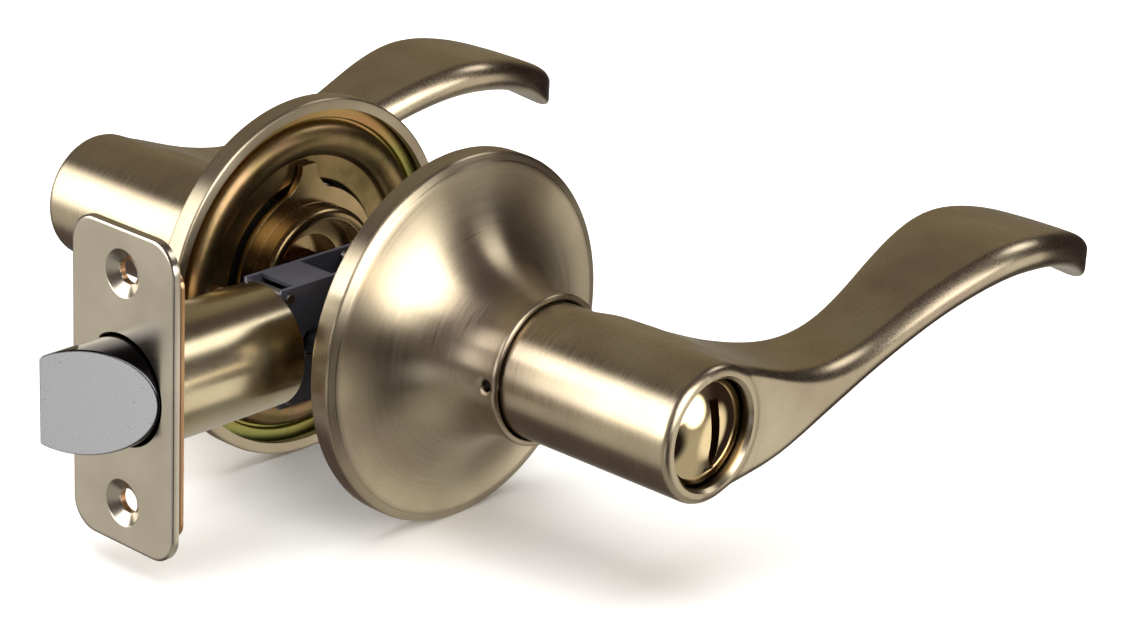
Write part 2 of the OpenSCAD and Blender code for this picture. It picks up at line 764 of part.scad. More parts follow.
// Flat retractor: a tongue in the bolt, arms either side of the screw and cam, and the lugs.
module bolt_tail() {
    t = tail_y1 - tail_y0;
    slot_from = -screw_x - bolt_throw - tail_slot_half - 1;
    arm_from = -screw_x - 3;
    tongue_from = bolt_back - 5.3;
    lug_end = lug_x0 + lug_len;
    color(steel) difference() {
        union() {
            translate([tongue_from, tail_y0, -tail_half])
                cube([arm_from + 2 - tongue_from, t, 2 * tail_half]);
            for (s = [-1, 1]) {
                translate([arm_from, tail_y0, s > 0 ? tail_slot_half : -arm_z1])
                    cube([2, t, arm_z1 - tail_slot_half]);
                translate([arm_from, tail_y0, s > 0 ? arm_z0 : -arm_z1])
                    cube([lug_end - arm_from, t, arm_z1 - arm_z0]);
                translate([lug_x0, tail_y0, s > 0 ? arm_z1 - eps : -lug_z1])
                    cube([lug_len, t, lug_z1 - arm_z1 + eps]);
                translate([lug_x0, tail_y1 - eps, s > 0 ? lug_z0 : -lug_z1])
                    cube([lug_len, finger_y1 - tail_y1, lug_z1 - lug_z0]);
            }
        }
        translate([slot_from, tail_y0 - 1, -tail_slot_half])
            cube([-slot_from, t + 2, 2 * tail_slot_half]);
        translate([bolt_pin_x, -bolt_d, 0]) along_y()
            cylinder(r = bolt_pin_r + seat_fit, h = 2 * bolt_d, $fn = 32);
    }
}

module bolt_pin() {
    color(steel) translate([bolt_pin_x, -7, 0]) along_y() cylinder(r = bolt_pin_r, h = 12, $fn = 32);
}

module bolt_spring() {
    from_x = bolt_back + spring_wire / 2;
    length = seat_x - bolt_back - spring_wire;
    color(steel) for (i = [0:spring_turns - 1])
        translate([from_x + length * i / (spring_turns - 1), 0, 0]) along_x()
            rotate_extrude($fn = 64) translate([spring_r, 0]) circle(d = spring_wire, $fn = 16);
}

outer_rose();
inner_rose();
outer_mounting_plate();
inner_mounting_plate();
outer_spring_cover();
inner_spring_cover();
outer_return_spring();
inner_return_spring();
mounting_screws();
latch_faceplate();
latch_backplate();
latch_tube();
latch_case();
case_rivets();
inner_lever();
inner_driver();
inner_retaining_ring();
spindle();
latch_cam();
catch_guide();
outer_lever();
outer_driver();
outer_retaining_ring();
lever_catch();
catch_spring();
turn_button();
lock_stem();
lock_cam();
latch_bolt();
bolt_tail();
bolt_pin();
bolt_spring();
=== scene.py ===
import math

import bmesh
import bpy
import numpy as np
from mathutils import Matrix, Vector


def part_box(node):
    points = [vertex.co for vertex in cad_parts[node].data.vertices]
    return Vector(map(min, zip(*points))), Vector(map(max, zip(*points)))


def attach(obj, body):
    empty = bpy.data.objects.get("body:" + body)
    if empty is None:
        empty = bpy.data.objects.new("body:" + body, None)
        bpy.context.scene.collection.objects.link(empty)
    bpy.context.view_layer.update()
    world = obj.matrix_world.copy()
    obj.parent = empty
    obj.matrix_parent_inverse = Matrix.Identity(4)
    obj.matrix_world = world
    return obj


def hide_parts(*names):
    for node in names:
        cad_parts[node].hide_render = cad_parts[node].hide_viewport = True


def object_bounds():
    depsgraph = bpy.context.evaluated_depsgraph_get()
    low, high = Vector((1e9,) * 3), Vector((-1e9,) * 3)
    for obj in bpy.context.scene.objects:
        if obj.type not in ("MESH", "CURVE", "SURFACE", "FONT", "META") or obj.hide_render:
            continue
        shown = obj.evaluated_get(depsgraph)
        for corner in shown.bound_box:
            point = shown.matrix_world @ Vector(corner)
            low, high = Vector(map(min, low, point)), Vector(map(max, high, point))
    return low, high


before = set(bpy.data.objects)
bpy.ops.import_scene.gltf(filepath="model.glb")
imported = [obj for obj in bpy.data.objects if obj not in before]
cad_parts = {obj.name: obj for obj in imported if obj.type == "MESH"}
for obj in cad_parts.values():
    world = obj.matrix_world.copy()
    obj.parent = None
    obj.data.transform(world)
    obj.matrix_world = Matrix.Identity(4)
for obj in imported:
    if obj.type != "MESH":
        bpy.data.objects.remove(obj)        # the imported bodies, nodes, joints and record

# Shapes are worked out in millimetres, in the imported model's own frame, and scaled when they become a mesh.
# X runs along the levers, Y along the spindle with the turn button at -Y, and Z is up.
mm = 0.001
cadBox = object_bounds()
scene = bpy.context.scene


# tools for making pieces
def boxOf(node):
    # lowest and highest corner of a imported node, in millimetres
    low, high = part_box(node)
    return np.array(low) / mm, np.array(high) / mm


def smooth(t):
    # goes from 0 to 1 with level ends: 3t^2 - 2t^3
    t = np.clip(t, 0, 1)
    return t * t * (3 - 2 * t)


def gridFaces(rows, cols, wrapRows=False, wrapCols=False):
    # four-cornered faces between neighbouring rows and columns of a grid of points
    r = np.arange(rows if wrapRows else rows - 1)[:, None]
    c = np.arange(cols if wrapCols else cols - 1)[None, :]
    nextR, nextC = (r + 1) % rows, (c + 1) % cols
    corners = (r * cols + c, nextR * cols + c, nextR * cols + nextC, r * cols + nextC)
    return np.stack(np.broadcast_arrays(*corners), -1).reshape(-1, 4)


def cleanMesh(piece, sharpAngle=35):
    # merges doubles, drops empty faces, points the faces outwards and keeps only true edges sharp
    work = bmesh.new()
    work.from_mesh(piece.data)
    bmesh.ops.remove_doubles(work, verts=work.verts, dist=0.002 * mm)
    bmesh.ops.dissolve_degenerate(work, edges=work.edges, dist=0.001 * mm)
    bmesh.ops.delete(work, geom=[edge for edge in work.edges if not edge.link_faces], context="EDGES")
    bmesh.ops.recalc_face_normals(work, faces=work.faces)
    work.to_mesh(piece.data)
    work.free()
    piece.data.shade_smooth()
    piece.data.set_sharp_from_angle(angle=math.radians(sharpAngle))
    return piece


def meshPiece(name, points, faces, sharpAngle=35):
    # a new object from points in millimetres and lists of corners
    mesh = bpy.data.meshes.new(name)
    mesh.from_pydata((np.asarray(points, float).reshape(-1, 3) * mm).tolist(), [], [list(f) for f in faces])
    piece = bpy.data.objects.new(name, mesh)
    scene.collection.objects.link(piece)
    return cleanMesh(piece, sharpAngle)


def applyModifiers(piece):
    # keeps what the modifiers made and drops the modifiers
    made = bpy.data.meshes.new_from_object(piece.evaluated_get(bpy.context.evaluated_depsgraph_get()))
    piece.modifiers.clear()
    old, piece.data = piece.data, made
    made.name = piece.name
    bpy.data.meshes.remove(old)
    return piece


def combine(piece, others, operation="DIFFERENCE", sharpAngle=35):
    # cuts the other solids out of a piece, or adds them to it, and removes them
    for other in others:
        step = piece.modifiers.new(other.name, "BOOLEAN")
        step.operation, step.solver, step.object = operation, "EXACT", other
    bpy.context.view_layer.update()
    applyModifiers(piece)
    for other in others:
        bpy.data.objects.remove(other)
    return cleanMesh(piece, sharpAngle)


def joined(name, parts):
    # several closed solids kept as one piece
    work = bmesh.new()
    for part in parts:
        work.from_mesh(part.data)
    mesh = bpy.data.meshes.new(name)
    work.to_mesh(mesh)
    work.free()
    for part in parts:
        bpy.data.objects.remove(part)
    piece = bpy.data.objects.new(name, mesh)
    scene.collection.objects.link(piece)
    return cleanMesh(piece)


def roundedOutline(corners, steps=6):
    # a closed outline of (a, b, radius) corners; each corner becomes an arc tangent to its two sides
    parts = []
    for i, (a, b, radius) in enumerate(corners):
        here = np.array([a, b], float)
        before = np.array(corners[i - 1][:2], float) - here
        after = np.array(corners[(i + 1) % len(corners)][:2], float) - here
        lengthBefore, lengthAfter = np.linalg.norm(before), np.linalg.norm(after)
        u, v = before / lengthBefore, after / lengthAfter
        half = math.acos(np.clip(u @ v, -1, 1)) / 2
        if radius <= 0 or half > 1.55:
            parts.append(here[None])
            continue
        cut = min(radius / math.tan(half), 0.49 * lengthBefore, 0.49 * lengthAfter)
        centre = here + (u + v) / np.linalg.norm(u + v) * cut / math.cos(half)
        first, last = here + u * cut - centre, here + v * cut - centre
        start = math.atan2(first[1], first[0])
        turn = (math.atan2(last[1], last[0]) - start + math.pi) % (2 * math.pi) - math.pi
        angle = start + turn * np.linspace(0, 1, steps + 1)
        parts.append(centre + np.linalg.norm(first) * np.stack([np.cos(angle), np.sin(angle)], -1))
    return np.concatenate(parts)


def spun(name, outline, axis="y", turns=160, at=(0, 0, 0), sharpAngle=35):
    # turns a closed outline of (radius, place along the axis) points round an axis through at
    angle = np.arange(turns) / turns * 2 * math.pi
    radius, along = outline[:, :1], outline[:, 1:] + 0 * angle
    c, s = radius * np.cos(angle), radius * np.sin(angle)
    points = np.stack({"x": (along, c, s), "y": (c, along, s), "z": (c, s, along)}[axis], -1) + np.array(at)
    return meshPiece(name, points, gridFaces(len(outline), turns, True, True), sharpAngle)


def extruded(name, outline, low, high, axis="y"):
    # carries a closed outline straight from low to high along an axis
    flat = np.array([outline, outline])
    along = np.broadcast_to(np.array([low, high])[:, None], flat.shape[:2])
    a, b = flat[..., 0], flat[..., 1]
    points = np.stack({"x": (along, a, b), "y": (a, along, b), "z": (a, b, along)}[axis], -1)
    count = len(outline)
    faces = gridFaces(2, count, False, True).tolist() + [list(range(count)), list(range(count, 2 * count))]
    return meshPiece(name, points, faces)


def bevelled(piece, width, segments=2, angle=30):
    # rounds the edges that turn by more than the angle
    step = piece.modifiers.new("edges", "BEVEL")
    step.width, step.segments, step.limit_method = width * mm, segments, "ANGLE"
    step.angle_limit, step.use_clamp_overlap = math.radians(angle), True
    bpy.context.view_layer.update()
    return cleanMesh(applyModifiers(piece))


def edgedCopy(node, width=0.15, angle=30):
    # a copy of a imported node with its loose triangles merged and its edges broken
    name = node + "_edged"
    piece = bpy.data.objects.new(name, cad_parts[node].data.copy())
    scene.collection.objects.link(piece)
    piece.data.materials.clear()
    work = bmesh.new()
    work.from_mesh(piece.data)
    bmesh.ops.remove_doubles(work, verts=work.verts, dist=0.002 * mm)
    bmesh.ops.dissolve_limit(work, angle_limit=math.radians(0.5), verts=work.verts, edges=work.edges)
    work.to_mesh(piece.data)
    work.free()
    return bevelled(piece, width, angle=angle)


def coil(name, radius, wire, start, stop, turns, axis="y", firstAngle=0.0, sides=12, stepsPerTurn=48):
    # wire along a helix: the centre goes round at the radius while it moves from start to stop
    count = int(turns * stepsPerTurn) + 1
    t = np.linspace(0, 1, count)
    angle = firstAngle + t * turns * 2 * math.pi
    ring = np.arange(sides) / sides * 2 * math.pi
    thick = np.where((t == 0) | (t == 1), 1e-4, wire / 2)[:, None]
    out = radius + thick * np.cos(ring)
    along = (start + (stop - start) * t)[:, None] + thick * np.sin(ring)
    c, s = out * np.cos(angle)[:, None], out * np.sin(angle)[:, None]
    points = np.stack({"x": (along, c, s), "y": (c, along, s)}[axis], -1)
    points = np.concatenate([points[:1] * 0 + points[:1].mean(1, keepdims=True), points[1:-1],
                             points[-1:] * 0 + points[-1:].mean(1, keepdims=True)])
    return meshPiece(name, points, gridFaces(count, sides, False, True), 80)


def tint(code):
    # an sRGB hex colour as linear RGBA
    part = np.array([int(code[i:i + 2], 16) for i in (1, 3, 5)]) / 255
    linear = np.where(part <= 0.04045, part / 12.92, ((part + 0.055) / 1.055) ** 2.4)
    return (*[float(v) for v in linear], 1.0)


def addNode(tree, kind, settings=(), links=()):
    # one node: settings by name, socket values by name or number, a ramp's stops, and what feeds its sockets
    node = tree.nodes.new("ShaderNode" + kind)
    for key, value in dict(settings).items():
        if key == "stops":
            elements = node.color_ramp.elements
            while len(elements) < len(value):
                elements.new(0.5)
            for element, (position, colour) in zip(elements, value):
                element.position, element.color = position, tint(colour)
        elif isinstance(key, str) and hasattr(node, key):
            setattr(node, key, value)
        else:
            node.inputs[key].default_value = value
    for key, source in dict(links).items():
        tree.links.new(source, node.inputs[key])
    return node


def newMaterial(name, shaderSettings):
    # an empty material with its shader, and the coordinates that its patterns read
    material = bpy.data.materials.new(name)
    material.use_nodes = True
    tree = material.node_tree
    tree.nodes.clear()
    shader = addNode(tree, "BsdfPrincipled", shaderSettings)
    addNode(tree, "OutputMaterial", {"target": "ALL"}, {"Surface": shader.outputs["BSDF"]})
    return material, tree, shader, addNode(tree, "TexCoord").outputs["Object"]


def feed(tree, shader, colour, pattern, roughRange, bumpMm, strength=0.5, span=(0.25, 0.75)):
    # the colour, and the patterns that go into the roughness and into a shallow relief
    rough = addNode(tree, "MapRange", {"From Min": span[0], "From Max": span[1], "To Min": roughRange[0],
                                       "To Max": roughRange[1]}, {"Value": pattern["rough"]})
    bump = addNode(tree, "Bump", {"Strength": strength, "Distance": bumpMm * mm}, {"Height": pattern["bump"]})
    tree.links.new(colour, shader.inputs["Base Color"])
    tree.links.new(rough.outputs[0], shader.inputs["Roughness"])
    tree.links.new(bump.outputs[0], shader.inputs["Normal"])


def aroundAxis(tree, place, lineMm, aroundCount):
    # coordinates that change fast along Y and away from it, every lineMm, and slowly round it
    split = addNode(tree, "SeparateXYZ", links={"Vector": place})
    flat = addNode(tree, "CombineXYZ", links={"X": split.outputs["X"], "Y": split.outputs["Z"]}).outputs[0]
    radius = addNode(tree, "VectorMath", {"operation": "LENGTH"}, {0: flat}).outputs["Value"]
    unit = addNode(tree, "VectorMath", {"operation": "NORMALIZE"}, {0: flat}).outputs[0]
    slow = addNode(tree, "VectorMath", {"operation": "SCALE", "Scale": aroundCount}, {0: unit}).outputs[0]
    perLine = {"operation": "MULTIPLY", 1: 1 / (lineMm * mm)}
    along = addNode(tree, "Math", perLine, {0: split.outputs["Y"]}).outputs[0]
    lift = addNode(tree, "CombineXYZ", links={"Z": along}).outputs[0]
    vector = addNode(tree, "VectorMath", {"operation": "ADD"}, {0: slow, 1: lift}).outputs[0]
    outward = addNode(tree, "Math", perLine, {0: radius}).outputs[0]
    return vector, outward, radius


antiqueSet = {
    "light": "#c9bea6", "mid": "#b2a48a", "dark": "#948374",
    "lineMm": 0.30,          # brush lines are about 0.1 mm apart; drawn coarser so that they show
    "grainMm": 0.35,
    "rough": (0.24, 0.34), "brushedRough": (0.27, 0.36),
    "stretch": 0.5, "brushedStretch": 0.92,      # how far the brush lines stretch a reflection
    "bumpMm": 0.002,
    "roundTo": 12.6, "bladeFrom": 16.0,          # radius where round brushing ends and the satin blade begins
    # dark brown painted as shade in the near lever's recess, from where the recess begins and inside its
    # radius
    "recessShade": "#2c221a", "recessShadeFrom": -77.7, "recessShadeInside": 10.3,
}


def brushedRound(tree, shader, place, blade=None):
    # the brush lines run round the spindle, and along a lever's blade; they stretch reflections across them
    round_ = addNode(tree, "VectorMath", {"operation": "CROSS_PRODUCT", 0: (0, 1, 0)}, {1: place}).outputs[0]
    lines = addNode(tree, "VectorMath", {"operation": "NORMALIZE"}, {0: round_}).outputs[0]
    if blade is not None:
        lines = addNode(tree, "Mix", {"data_type": "VECTOR", 5: (1, 0, 0)}, {0: blade, 4: lines}).outputs[1]
    turned = addNode(tree, "VectorTransform", {"vector_type": "VECTOR", "convert_from": "OBJECT",
                                               "convert_to": "WORLD"}, {0: lines})
    tree.links.new(turned.outputs[0], shader.inputs["Tangent"])
    shader.inputs["Anisotropic Rotation"].default_value = 0.25


def paintedRecessShade(tree, place, radius, colour):
    # painted shade: darkens the walls of the near lever's recess towards a dark brown, from where the recess
    # begins and inside its radius
    s = antiqueSet
    depth = addNode(tree, "SeparateXYZ", links={"Vector": place}).outputs["Y"]
    behind = addNode(tree, "MapRange", {"From Min": s["recessShadeFrom"] * mm,
                                        "From Max": (s["recessShadeFrom"] + 0.7) * mm}, {"Value": depth}).outputs[0]
    inside = addNode(tree, "MapRange", {"From Min": s["recessShadeInside"] * mm, "To Min": 0.9, "To Max": 0.0,
                                        "From Max": (s["recessShadeInside"] + 0.5) * mm},
                     {"Value": radius}).outputs[0]
    near = addNode(tree, "Math", {"operation": "LESS_THAN", 1: 0.0}, {0: depth}).outputs[0]
    both = addNode(tree, "Math", {"operation": "MULTIPLY"}, {0: behind, 1: inside}).outputs[0]
    share = addNode(tree, "Math", {"operation": "MULTIPLY"}, {0: both, 1: near}).outputs[0]
    return addNode(tree, "Mix", {"data_type": "RGBA", 7: tint(s["recessShade"])}, {0: share, 6: colour}).outputs[2]


def antiqueBrass(name, brushedAll):
    # antique brass plate, brushed on a spindle and lacquered: soft bright streaks over a brown-gold metal
    s = antiqueSet
    stretch = s["brushedStretch"] if brushedAll else s["stretch"]
    material, tree, shader, place = newMaterial(name, {"Metallic": 1.0, "Anisotropic": stretch,
                                                       "Coat Weight": 0.05, "Coat Roughness": 0.25})
    vector, outward, radius = aroundAxis(tree, place, s["lineMm"], 1.6)
    lines = addNode(tree, "TexNoise", {"noise_dimensions": "4D", "Scale": 1.0, "Detail": 2, "Roughness": 0.5},
                    {"Vector": vector, "W": outward}).outputs["Fac"]
    grain = addNode(tree, "TexNoise", {"Scale": 1 / (s["grainMm"] * mm), "Detail": 4, "Roughness": 0.65},
                    {"Vector": place}).outputs["Fac"]
    blade = None
    if not brushedAll:
        # the shank is brushed round, the blade is satin all over
        blade = addNode(tree, "MapRange", {"From Min": s["roundTo"] * mm, "From Max": s["bladeFrom"] * mm},
                        {"Value": radius}).outputs[0]
        lines = addNode(tree, "Mix", {}, {0: blade, 2: lines, 3: grain}).outputs[0]
    brushedRound(tree, shader, place, blade)
    patches = addNode(tree, "TexNoise", {"Scale": 55, "Detail": 2, "Roughness": 0.5}, {"Vector": place})
    tone = addNode(tree, "ValToRGB", {"stops": [(0.3, s["dark"]), (0.5, s["mid"]), (0.72, s["light"])]},
                   {"Fac": patches.outputs["Fac"]}).outputs[0]
    streaks = addNode(tree, "ValToRGB", {"stops": [(0.25, s["dark"]), (0.75, s["light"])]}, {"Fac": lines})
    specks = addNode(tree, "ValToRGB", {"stops": [(0.3, s["dark"]), (0.7, s["light"])]}, {"Fac": grain})
    fine = addNode(tree, "Mix", {"data_type": "RGBA", 0: 0.5}, {6: streaks.outputs[0], 7: specks.outputs[0]})
    colour = addNode(tree, "Mix", {"data_type": "RGBA", 0: 0.4}, {6: tone, 7: fine.outputs[2]}).outputs[2]
    # the near lever's recess gets painted shade
    if not brushedAll:
        colour = paintedRecessShade(tree, place, radius, colour)
    feed(tree, shader, colour, {"rough": lines, "bump": grain}, s["brushedRough" if brushedAll else "rough"],
         s["bumpMm"], 0.4)
    return material


dichromateSet = {
    "base": [(0.30, "#625436"), (0.46, "#806e4a"), (0.60, "#95785a"), (0.74, "#746c48")],
    "flange": [(0.28, "#a8644a"), (0.40, "#a98a58"), (0.50, "#a09a58"), (0.64, "#848c50"), (0.78, "#94705c")],
    "flangeFrom": 29.0, "bandMm": 3.0, "grainMm": 0.25, "rough": (0.24, 0.44), "bumpMm": 0.006,
}


def dichromateSteel(name):
    # steel with a yellow dichromate dip over zinc: brown-gold with red and green bands of interference colour
    s = dichromateSet
    material, tree, shader, place = newMaterial(name, {"Metallic": 1.0})
    vector, outward, radius = aroundAxis(tree, place, s["bandMm"], 1.1)
    bands = addNode(tree, "TexNoise", {"noise_dimensions": "4D", "Scale": 0.45, "Detail": 2,
                                       "Roughness": 0.5}, {"Vector": vector, "W": outward}).outputs["Fac"]
    cloud = addNode(tree, "TexNoise", {"Scale": 90, "Detail": 4, "Roughness": 0.6}, {"Vector": place})
    inner = addNode(tree, "ValToRGB", {"stops": s["base"]}, {"Fac": cloud.outputs["Fac"]}).outputs[0]
    outer = addNode(tree, "ValToRGB", {"stops": s["flange"]}, {"Fac": bands}).outputs[0]
    edge = s["flangeFrom"] * mm
    where = addNode(tree, "MapRange", {"From Min": edge - 0.6 * mm, "From Max": edge},
                    {"Value": radius}).outputs[0]
    colour = addNode(tree, "Mix", {"data_type": "RGBA"}, {0: where, 6: inner, 7: outer}).outputs[2]
    grain = addNode(tree, "TexNoise", {"Scale": 1 / (s["grainMm"] * mm), "Detail": 4, "Roughness": 0.6},
                    {"Vector": place}).outputs["Fac"]
    feed(tree, shader, colour, {"rough": grain, "bump": grain}, s["rough"], s["bumpMm"])
    return material


def metalPlate(name, stops, roughRange, grainMm, bumpMm, metallic=1.0):
    # plated metal: slow changes of tone from the bath and a fine grain from the sheet below
    material, tree, shader, place = newMaterial(name, {"Metallic": metallic})
    cloud = addNode(tree, "TexNoise", {"Scale": 70, "Detail": 3, "Roughness": 0.55}, {"Vector": place})
    grain = addNode(tree, "TexNoise", {"Scale": 1 / (grainMm * mm), "Detail": 4, "Roughness": 0.65},
                    {"Vector": place}).outputs["Fac"]
    slow = addNode(tree, "ValToRGB", {"stops": stops}, {"Fac": cloud.outputs["Fac"]}).outputs[0]
    fine = addNode(tree, "ValToRGB", {"stops": stops}, {"Fac": grain}).outputs[0]
    colour = addNode(tree, "Mix", {"data_type": "RGBA", 0: 0.25}, {6: slow, 7: fine}).outputs[2]
    feed(tree, shader, colour, {"rough": grain, "bump": grain}, roughRange, bumpMm)
    return material


chromeSet = {
    "grainMm": 0.28, "stops": [(0.3, "#bdbdc0"), (0.7, "#dcdcde")], "rough": (0.22, 0.36), "bumpMm": 0.006,
    "pitMm": 0.9, "pit": "#4c4c50",
}


def satinChrome(name):
    # die-cast bolt, tumbled and chromed: a pale satin grey with fine pits
    s = chromeSet
    material, tree, shader, place = newMaterial(name, {"Metallic": 1.0})
    grain = addNode(tree, "TexNoise", {"Scale": 1 / (s["grainMm"] * mm), "Detail": 5, "Roughness": 0.7},
                    {"Vector": place}).outputs["Fac"]
    pits = addNode(tree, "TexVoronoi", {"Scale": 1 / (s["pitMm"] * mm)}, {"Vector": place})
    few = addNode(tree, "TexNoise", {"Scale": 420, "Detail": 2, "Roughness": 0.5}, {"Vector": place})
    spot = addNode(tree, "MapRange", {"From Min": 0.05, "From Max": 0.16, "To Min": 1.0, "To Max": 0.0},
                   {"Value": pits.outputs["Distance"]}).outputs[0]
    chosen = addNode(tree, "MapRange", {"From Min": 0.56, "From Max": 0.62},
                     {"Value": few.outputs["Fac"]}).outputs[0]
    speck = addNode(tree, "Math", {"operation": "MULTIPLY"}, {0: spot, 1: chosen}).outputs[0]
    base = addNode(tree, "ValToRGB", {"stops": s["stops"]}, {"Fac": grain}).outputs[0]
    colour = addNode(tree, "Mix", {"data_type": "RGBA", 7: tint(s["pit"])}, {0: speck, 6: base}).outputs[2]
    feed(tree, shader, colour, {"rough": grain, "bump": grain}, s["rough"], s["bumpMm"], span=(0.3, 0.7))
    return material


def plated(name, darker, lighter, rough, grainMm, bumpMm, metallic=1.0):
    # plated metal between two tones
    return metalPlate(name, [(0.3, darker), (0.7, lighter)], rough, grainMm, bumpMm, metallic)


print("materials")
materials = {
    # plate brushed round on the roses, and round on the shank only on the levers
    "rose": antiqueBrass("antique_brass_spun_brushed", True),
    "lever": antiqueBrass("antique_brass_cast_satin", False),
    "dichromate": dichromateSteel("zinc_dichromate_dipped_steel"),
    # hand-polished brass, lacquered: almost a mirror
    "polished": plated("brass_polished", "#dcc394", "#e8d6ae", (0.04, 0.09), 0.6, 0.001),
    # nickel plate over brushed steel, warm and satin
    "nickel": plated("nickel_plate_satin", "#b5ad9f", "#c9c1b2", (0.19, 0.28), 0.22, 0.004),
    # copper flash left under the plate of the back strap
    "copper": plated("copper_flash_steel", "#a9825f", "#c19a78", (0.25, 0.38), 0.3, 0.004),
    # drawn brass-plated tube
    "tube": plated("brass_plate_drawn_tube", "#b9aa8a", "#d4c8ab", (0.16, 0.28), 0.3, 0.005),
    # black zinc on folded sheet: its thin blue-grey film scatters some light, so it isn't a full metal
    "gunmetal": plated("black_zinc_folded_sheet", "#46464e", "#686872", (0.28, 0.42), 0.3, 0.006, 0.55),
    # bright zinc on stamped steel
    "zinc": plated("bright_zinc_stamped_steel", "#97979a", "#b5b4b0", (0.25, 0.42), 0.3, 0.006),
    # oiled spring wire
    "spring": plated("spring_wire_oiled", "#5d5b5a", "#7c7a78", (0.22, 0.35), 0.2, 0.003),
    # spindle and lock rod: orange-gold dichromate
    "bronze": plated("spindle_dichromate_gold", "#8a5c2c", "#b98346", (0.25, 0.38), 0.3, 0.005),
    "chrome": satinChrome("chrome_tumbled_die_cast"),
    # the driver's dichromate is lighter and smoother than the plate round it
    "driver": metalPlate("zinc_dichromate_lighter_steel",
                         [(0.25, "#69583f"), (0.5, "#8e7957"), (0.75, "#a8936f")], (0.16, 0.30), 0.3, 0.004),
    # the side of the bolt is smooth near-mirror chrome; its dark colour is painted shade
    "mirror": plated("chrome_mirror_painted_dark", "#3a3a40", "#4c4c52", (0.08, 0.15), 0.5, 0.001),
    # dark brass for the walls and floor of the button's slot: painted shade
    "slot": plated("brass_slot_painted_shade", "#1c1712", "#33291d", (0.35, 0.5), 0.2, 0.003),
}


leverLow, leverHigh = boxOf("outer_lever")
leverSet = {
    "hubRadius": -leverLow[0],
    "hubFace": 78.0,            # end face, from the middle of the door
    "hubStart": leverLow[1],
    "hubEdge": 1.3,             # rounding of the end face's rim
    "length": leverHigh[0],
    "halfThick": 3.75, "width": 25.0, "waistWidth": 16.5, "rootExtra": 7.5,
    "waistAt": 46.0, "dipAt": 22.0, "crestAt": 83.0, "wideAt": 87.0,
    "dip": 1.9, "crest": 11.5, "tipDrop": 1.0,
    "bladeMiddle": 69.4,
    "ridge": 3.1,               # radius of the blade's long edges
    "crown": 0.45,              # rise of the blade's top in the middle
    "flare": 1.8, "flareTo": 19.0,       # widening where the blade leaves the shank
    "planPower": 1.613, "tipPower": 1.6,   # powers of the outline from above, in leverField
    "rootRidge": 1.8, "ridgeFrom": 14.0, "ridgeTo": 116.0,
    "meltLeast": 0.5, "meltMore": 3.2,   # size of the blend between blade and shank
    "tipFrom": 112.0, "tipRound": 7.9, "tipTaper": 0.62,   # the rough blade's tip
    "voxel": 0.42, "roundingTurns": 7, "slidingTurns": 3,
}


def bladeLines(x):
    # middle height, half thickness, half width and middle across of the blade, each a function of x
    s = leverSet
    toWaist = np.clip(x / s["waistAt"], 0, 1)
    rise = np.clip((x - s["dipAt"]) / (s["crestAt"] - s["dipAt"]), 0, 1) ** 1.12
    fall = np.clip((x - s["crestAt"]) / (s["length"] - s["crestAt"]), 0, None) ** 1.9
    arch = -s["dip"] + (s["crest"] + s["dip"]) * smooth(rise) - (s["crest"] + s["tipDrop"]) * fall
    middleZ = np.where(x < s["dipAt"], -s["dip"] * smooth(x / s["dipAt"]), arch)
    halfZ = s["halfThick"] + (s["hubRadius"] - 0.15 - s["halfThick"]) * (1 - toWaist ** 1.5) ** 2
    spread = smooth((x - s["waistAt"]) / (s["wideAt"] - s["waistAt"]))
    halfY = (s["waistWidth"] / 2 + s["rootExtra"] * (1 - toWaist) ** 2
             + (s["width"] - s["waistWidth"]) / 2 * spread)
    halfY = halfY + s["flare"] * np.clip((s["flareTo"] - x) / 8, 0, 1) ** 2
    across = smooth((x - s["waistAt"]) / 20)
    waistMiddle = s["hubFace"] - s["waistWidth"] / 2
    middleY = np.where(x < s["waistAt"], s["hubFace"] - halfY,
                       waistMiddle + across * (s["bladeMiddle"] - s["hubFace"] + s["waistWidth"] / 2))
    return middleZ, halfZ, halfY, middleY


def roundedJoin(a, b, radius):
    # distance to where two half spaces overlap, with the edge between them rounded
    outside = np.hypot(np.maximum(a + radius, 0), np.maximum(b + radius, 0))
    return outside + np.minimum(np.maximum(a, b) + radius, 0) - radius


def leverField(p):
    # signed distance from the lever's skin: a rounded cylinder and a curved blade, melted together
    s = leverSet
    x, y, z = p[:, 0], p[:, 1], p[:, 2]
    length = s["hubFace"] - s["hubStart"]
    ends = np.abs(y - s["hubStart"] - length / 2) - length / 2
    shank = roundedJoin(np.hypot(x, z) - s["hubRadius"], ends, s["hubEdge"])
    middleZ, halfZ, halfY, middleY = bladeLines(np.clip(x, 0, s["length"]))
    # outline from above: (u / halfY)^n + t^m = 1, where t runs from the widest place to the tip
    u = np.abs(y - middleY)
    t = np.clip((x - s["wideAt"]) / (s["length"] - s["wideAt"]), 0, None)
    n, m = s["planPower"], s["tipPower"]
    value = (u / halfY) ** n + t ** m - 1
    slopeU = n * u ** (n - 1) / halfY ** n
    slopeT = m * t ** (m - 1) / (s["length"] - s["wideAt"])
    outline = value / np.maximum(np.hypot(slopeU, slopeT), 0.07)
    height = np.abs(z - middleZ) - halfZ + s["crown"] * np.clip(u / halfY, 0, 1.2) ** 2
    ridge = s["rootRidge"] + (s["ridge"] - s["rootRidge"]) * (smooth((x - s["ridgeFrom"]) / 20)
                                                              * smooth((s["ridgeTo"] - x) / 14))
    blade = np.maximum(roundedJoin(outline, height, ridge), -2 - x)
    # melt is wide in the crook and narrow at the end face: blade (1 - h) + shank h - melt h (1 - h)
    melt = s["meltLeast"] + s["meltMore"] * smooth((x - 3) / 7) * smooth((s["hubFace"] - 6 - y) / 10)
    h = np.clip(0.5 + 0.5 * (blade - shank) / melt, 0, 1)
    return blade * (1 - h) + shank * h - melt * h * (1 - h)


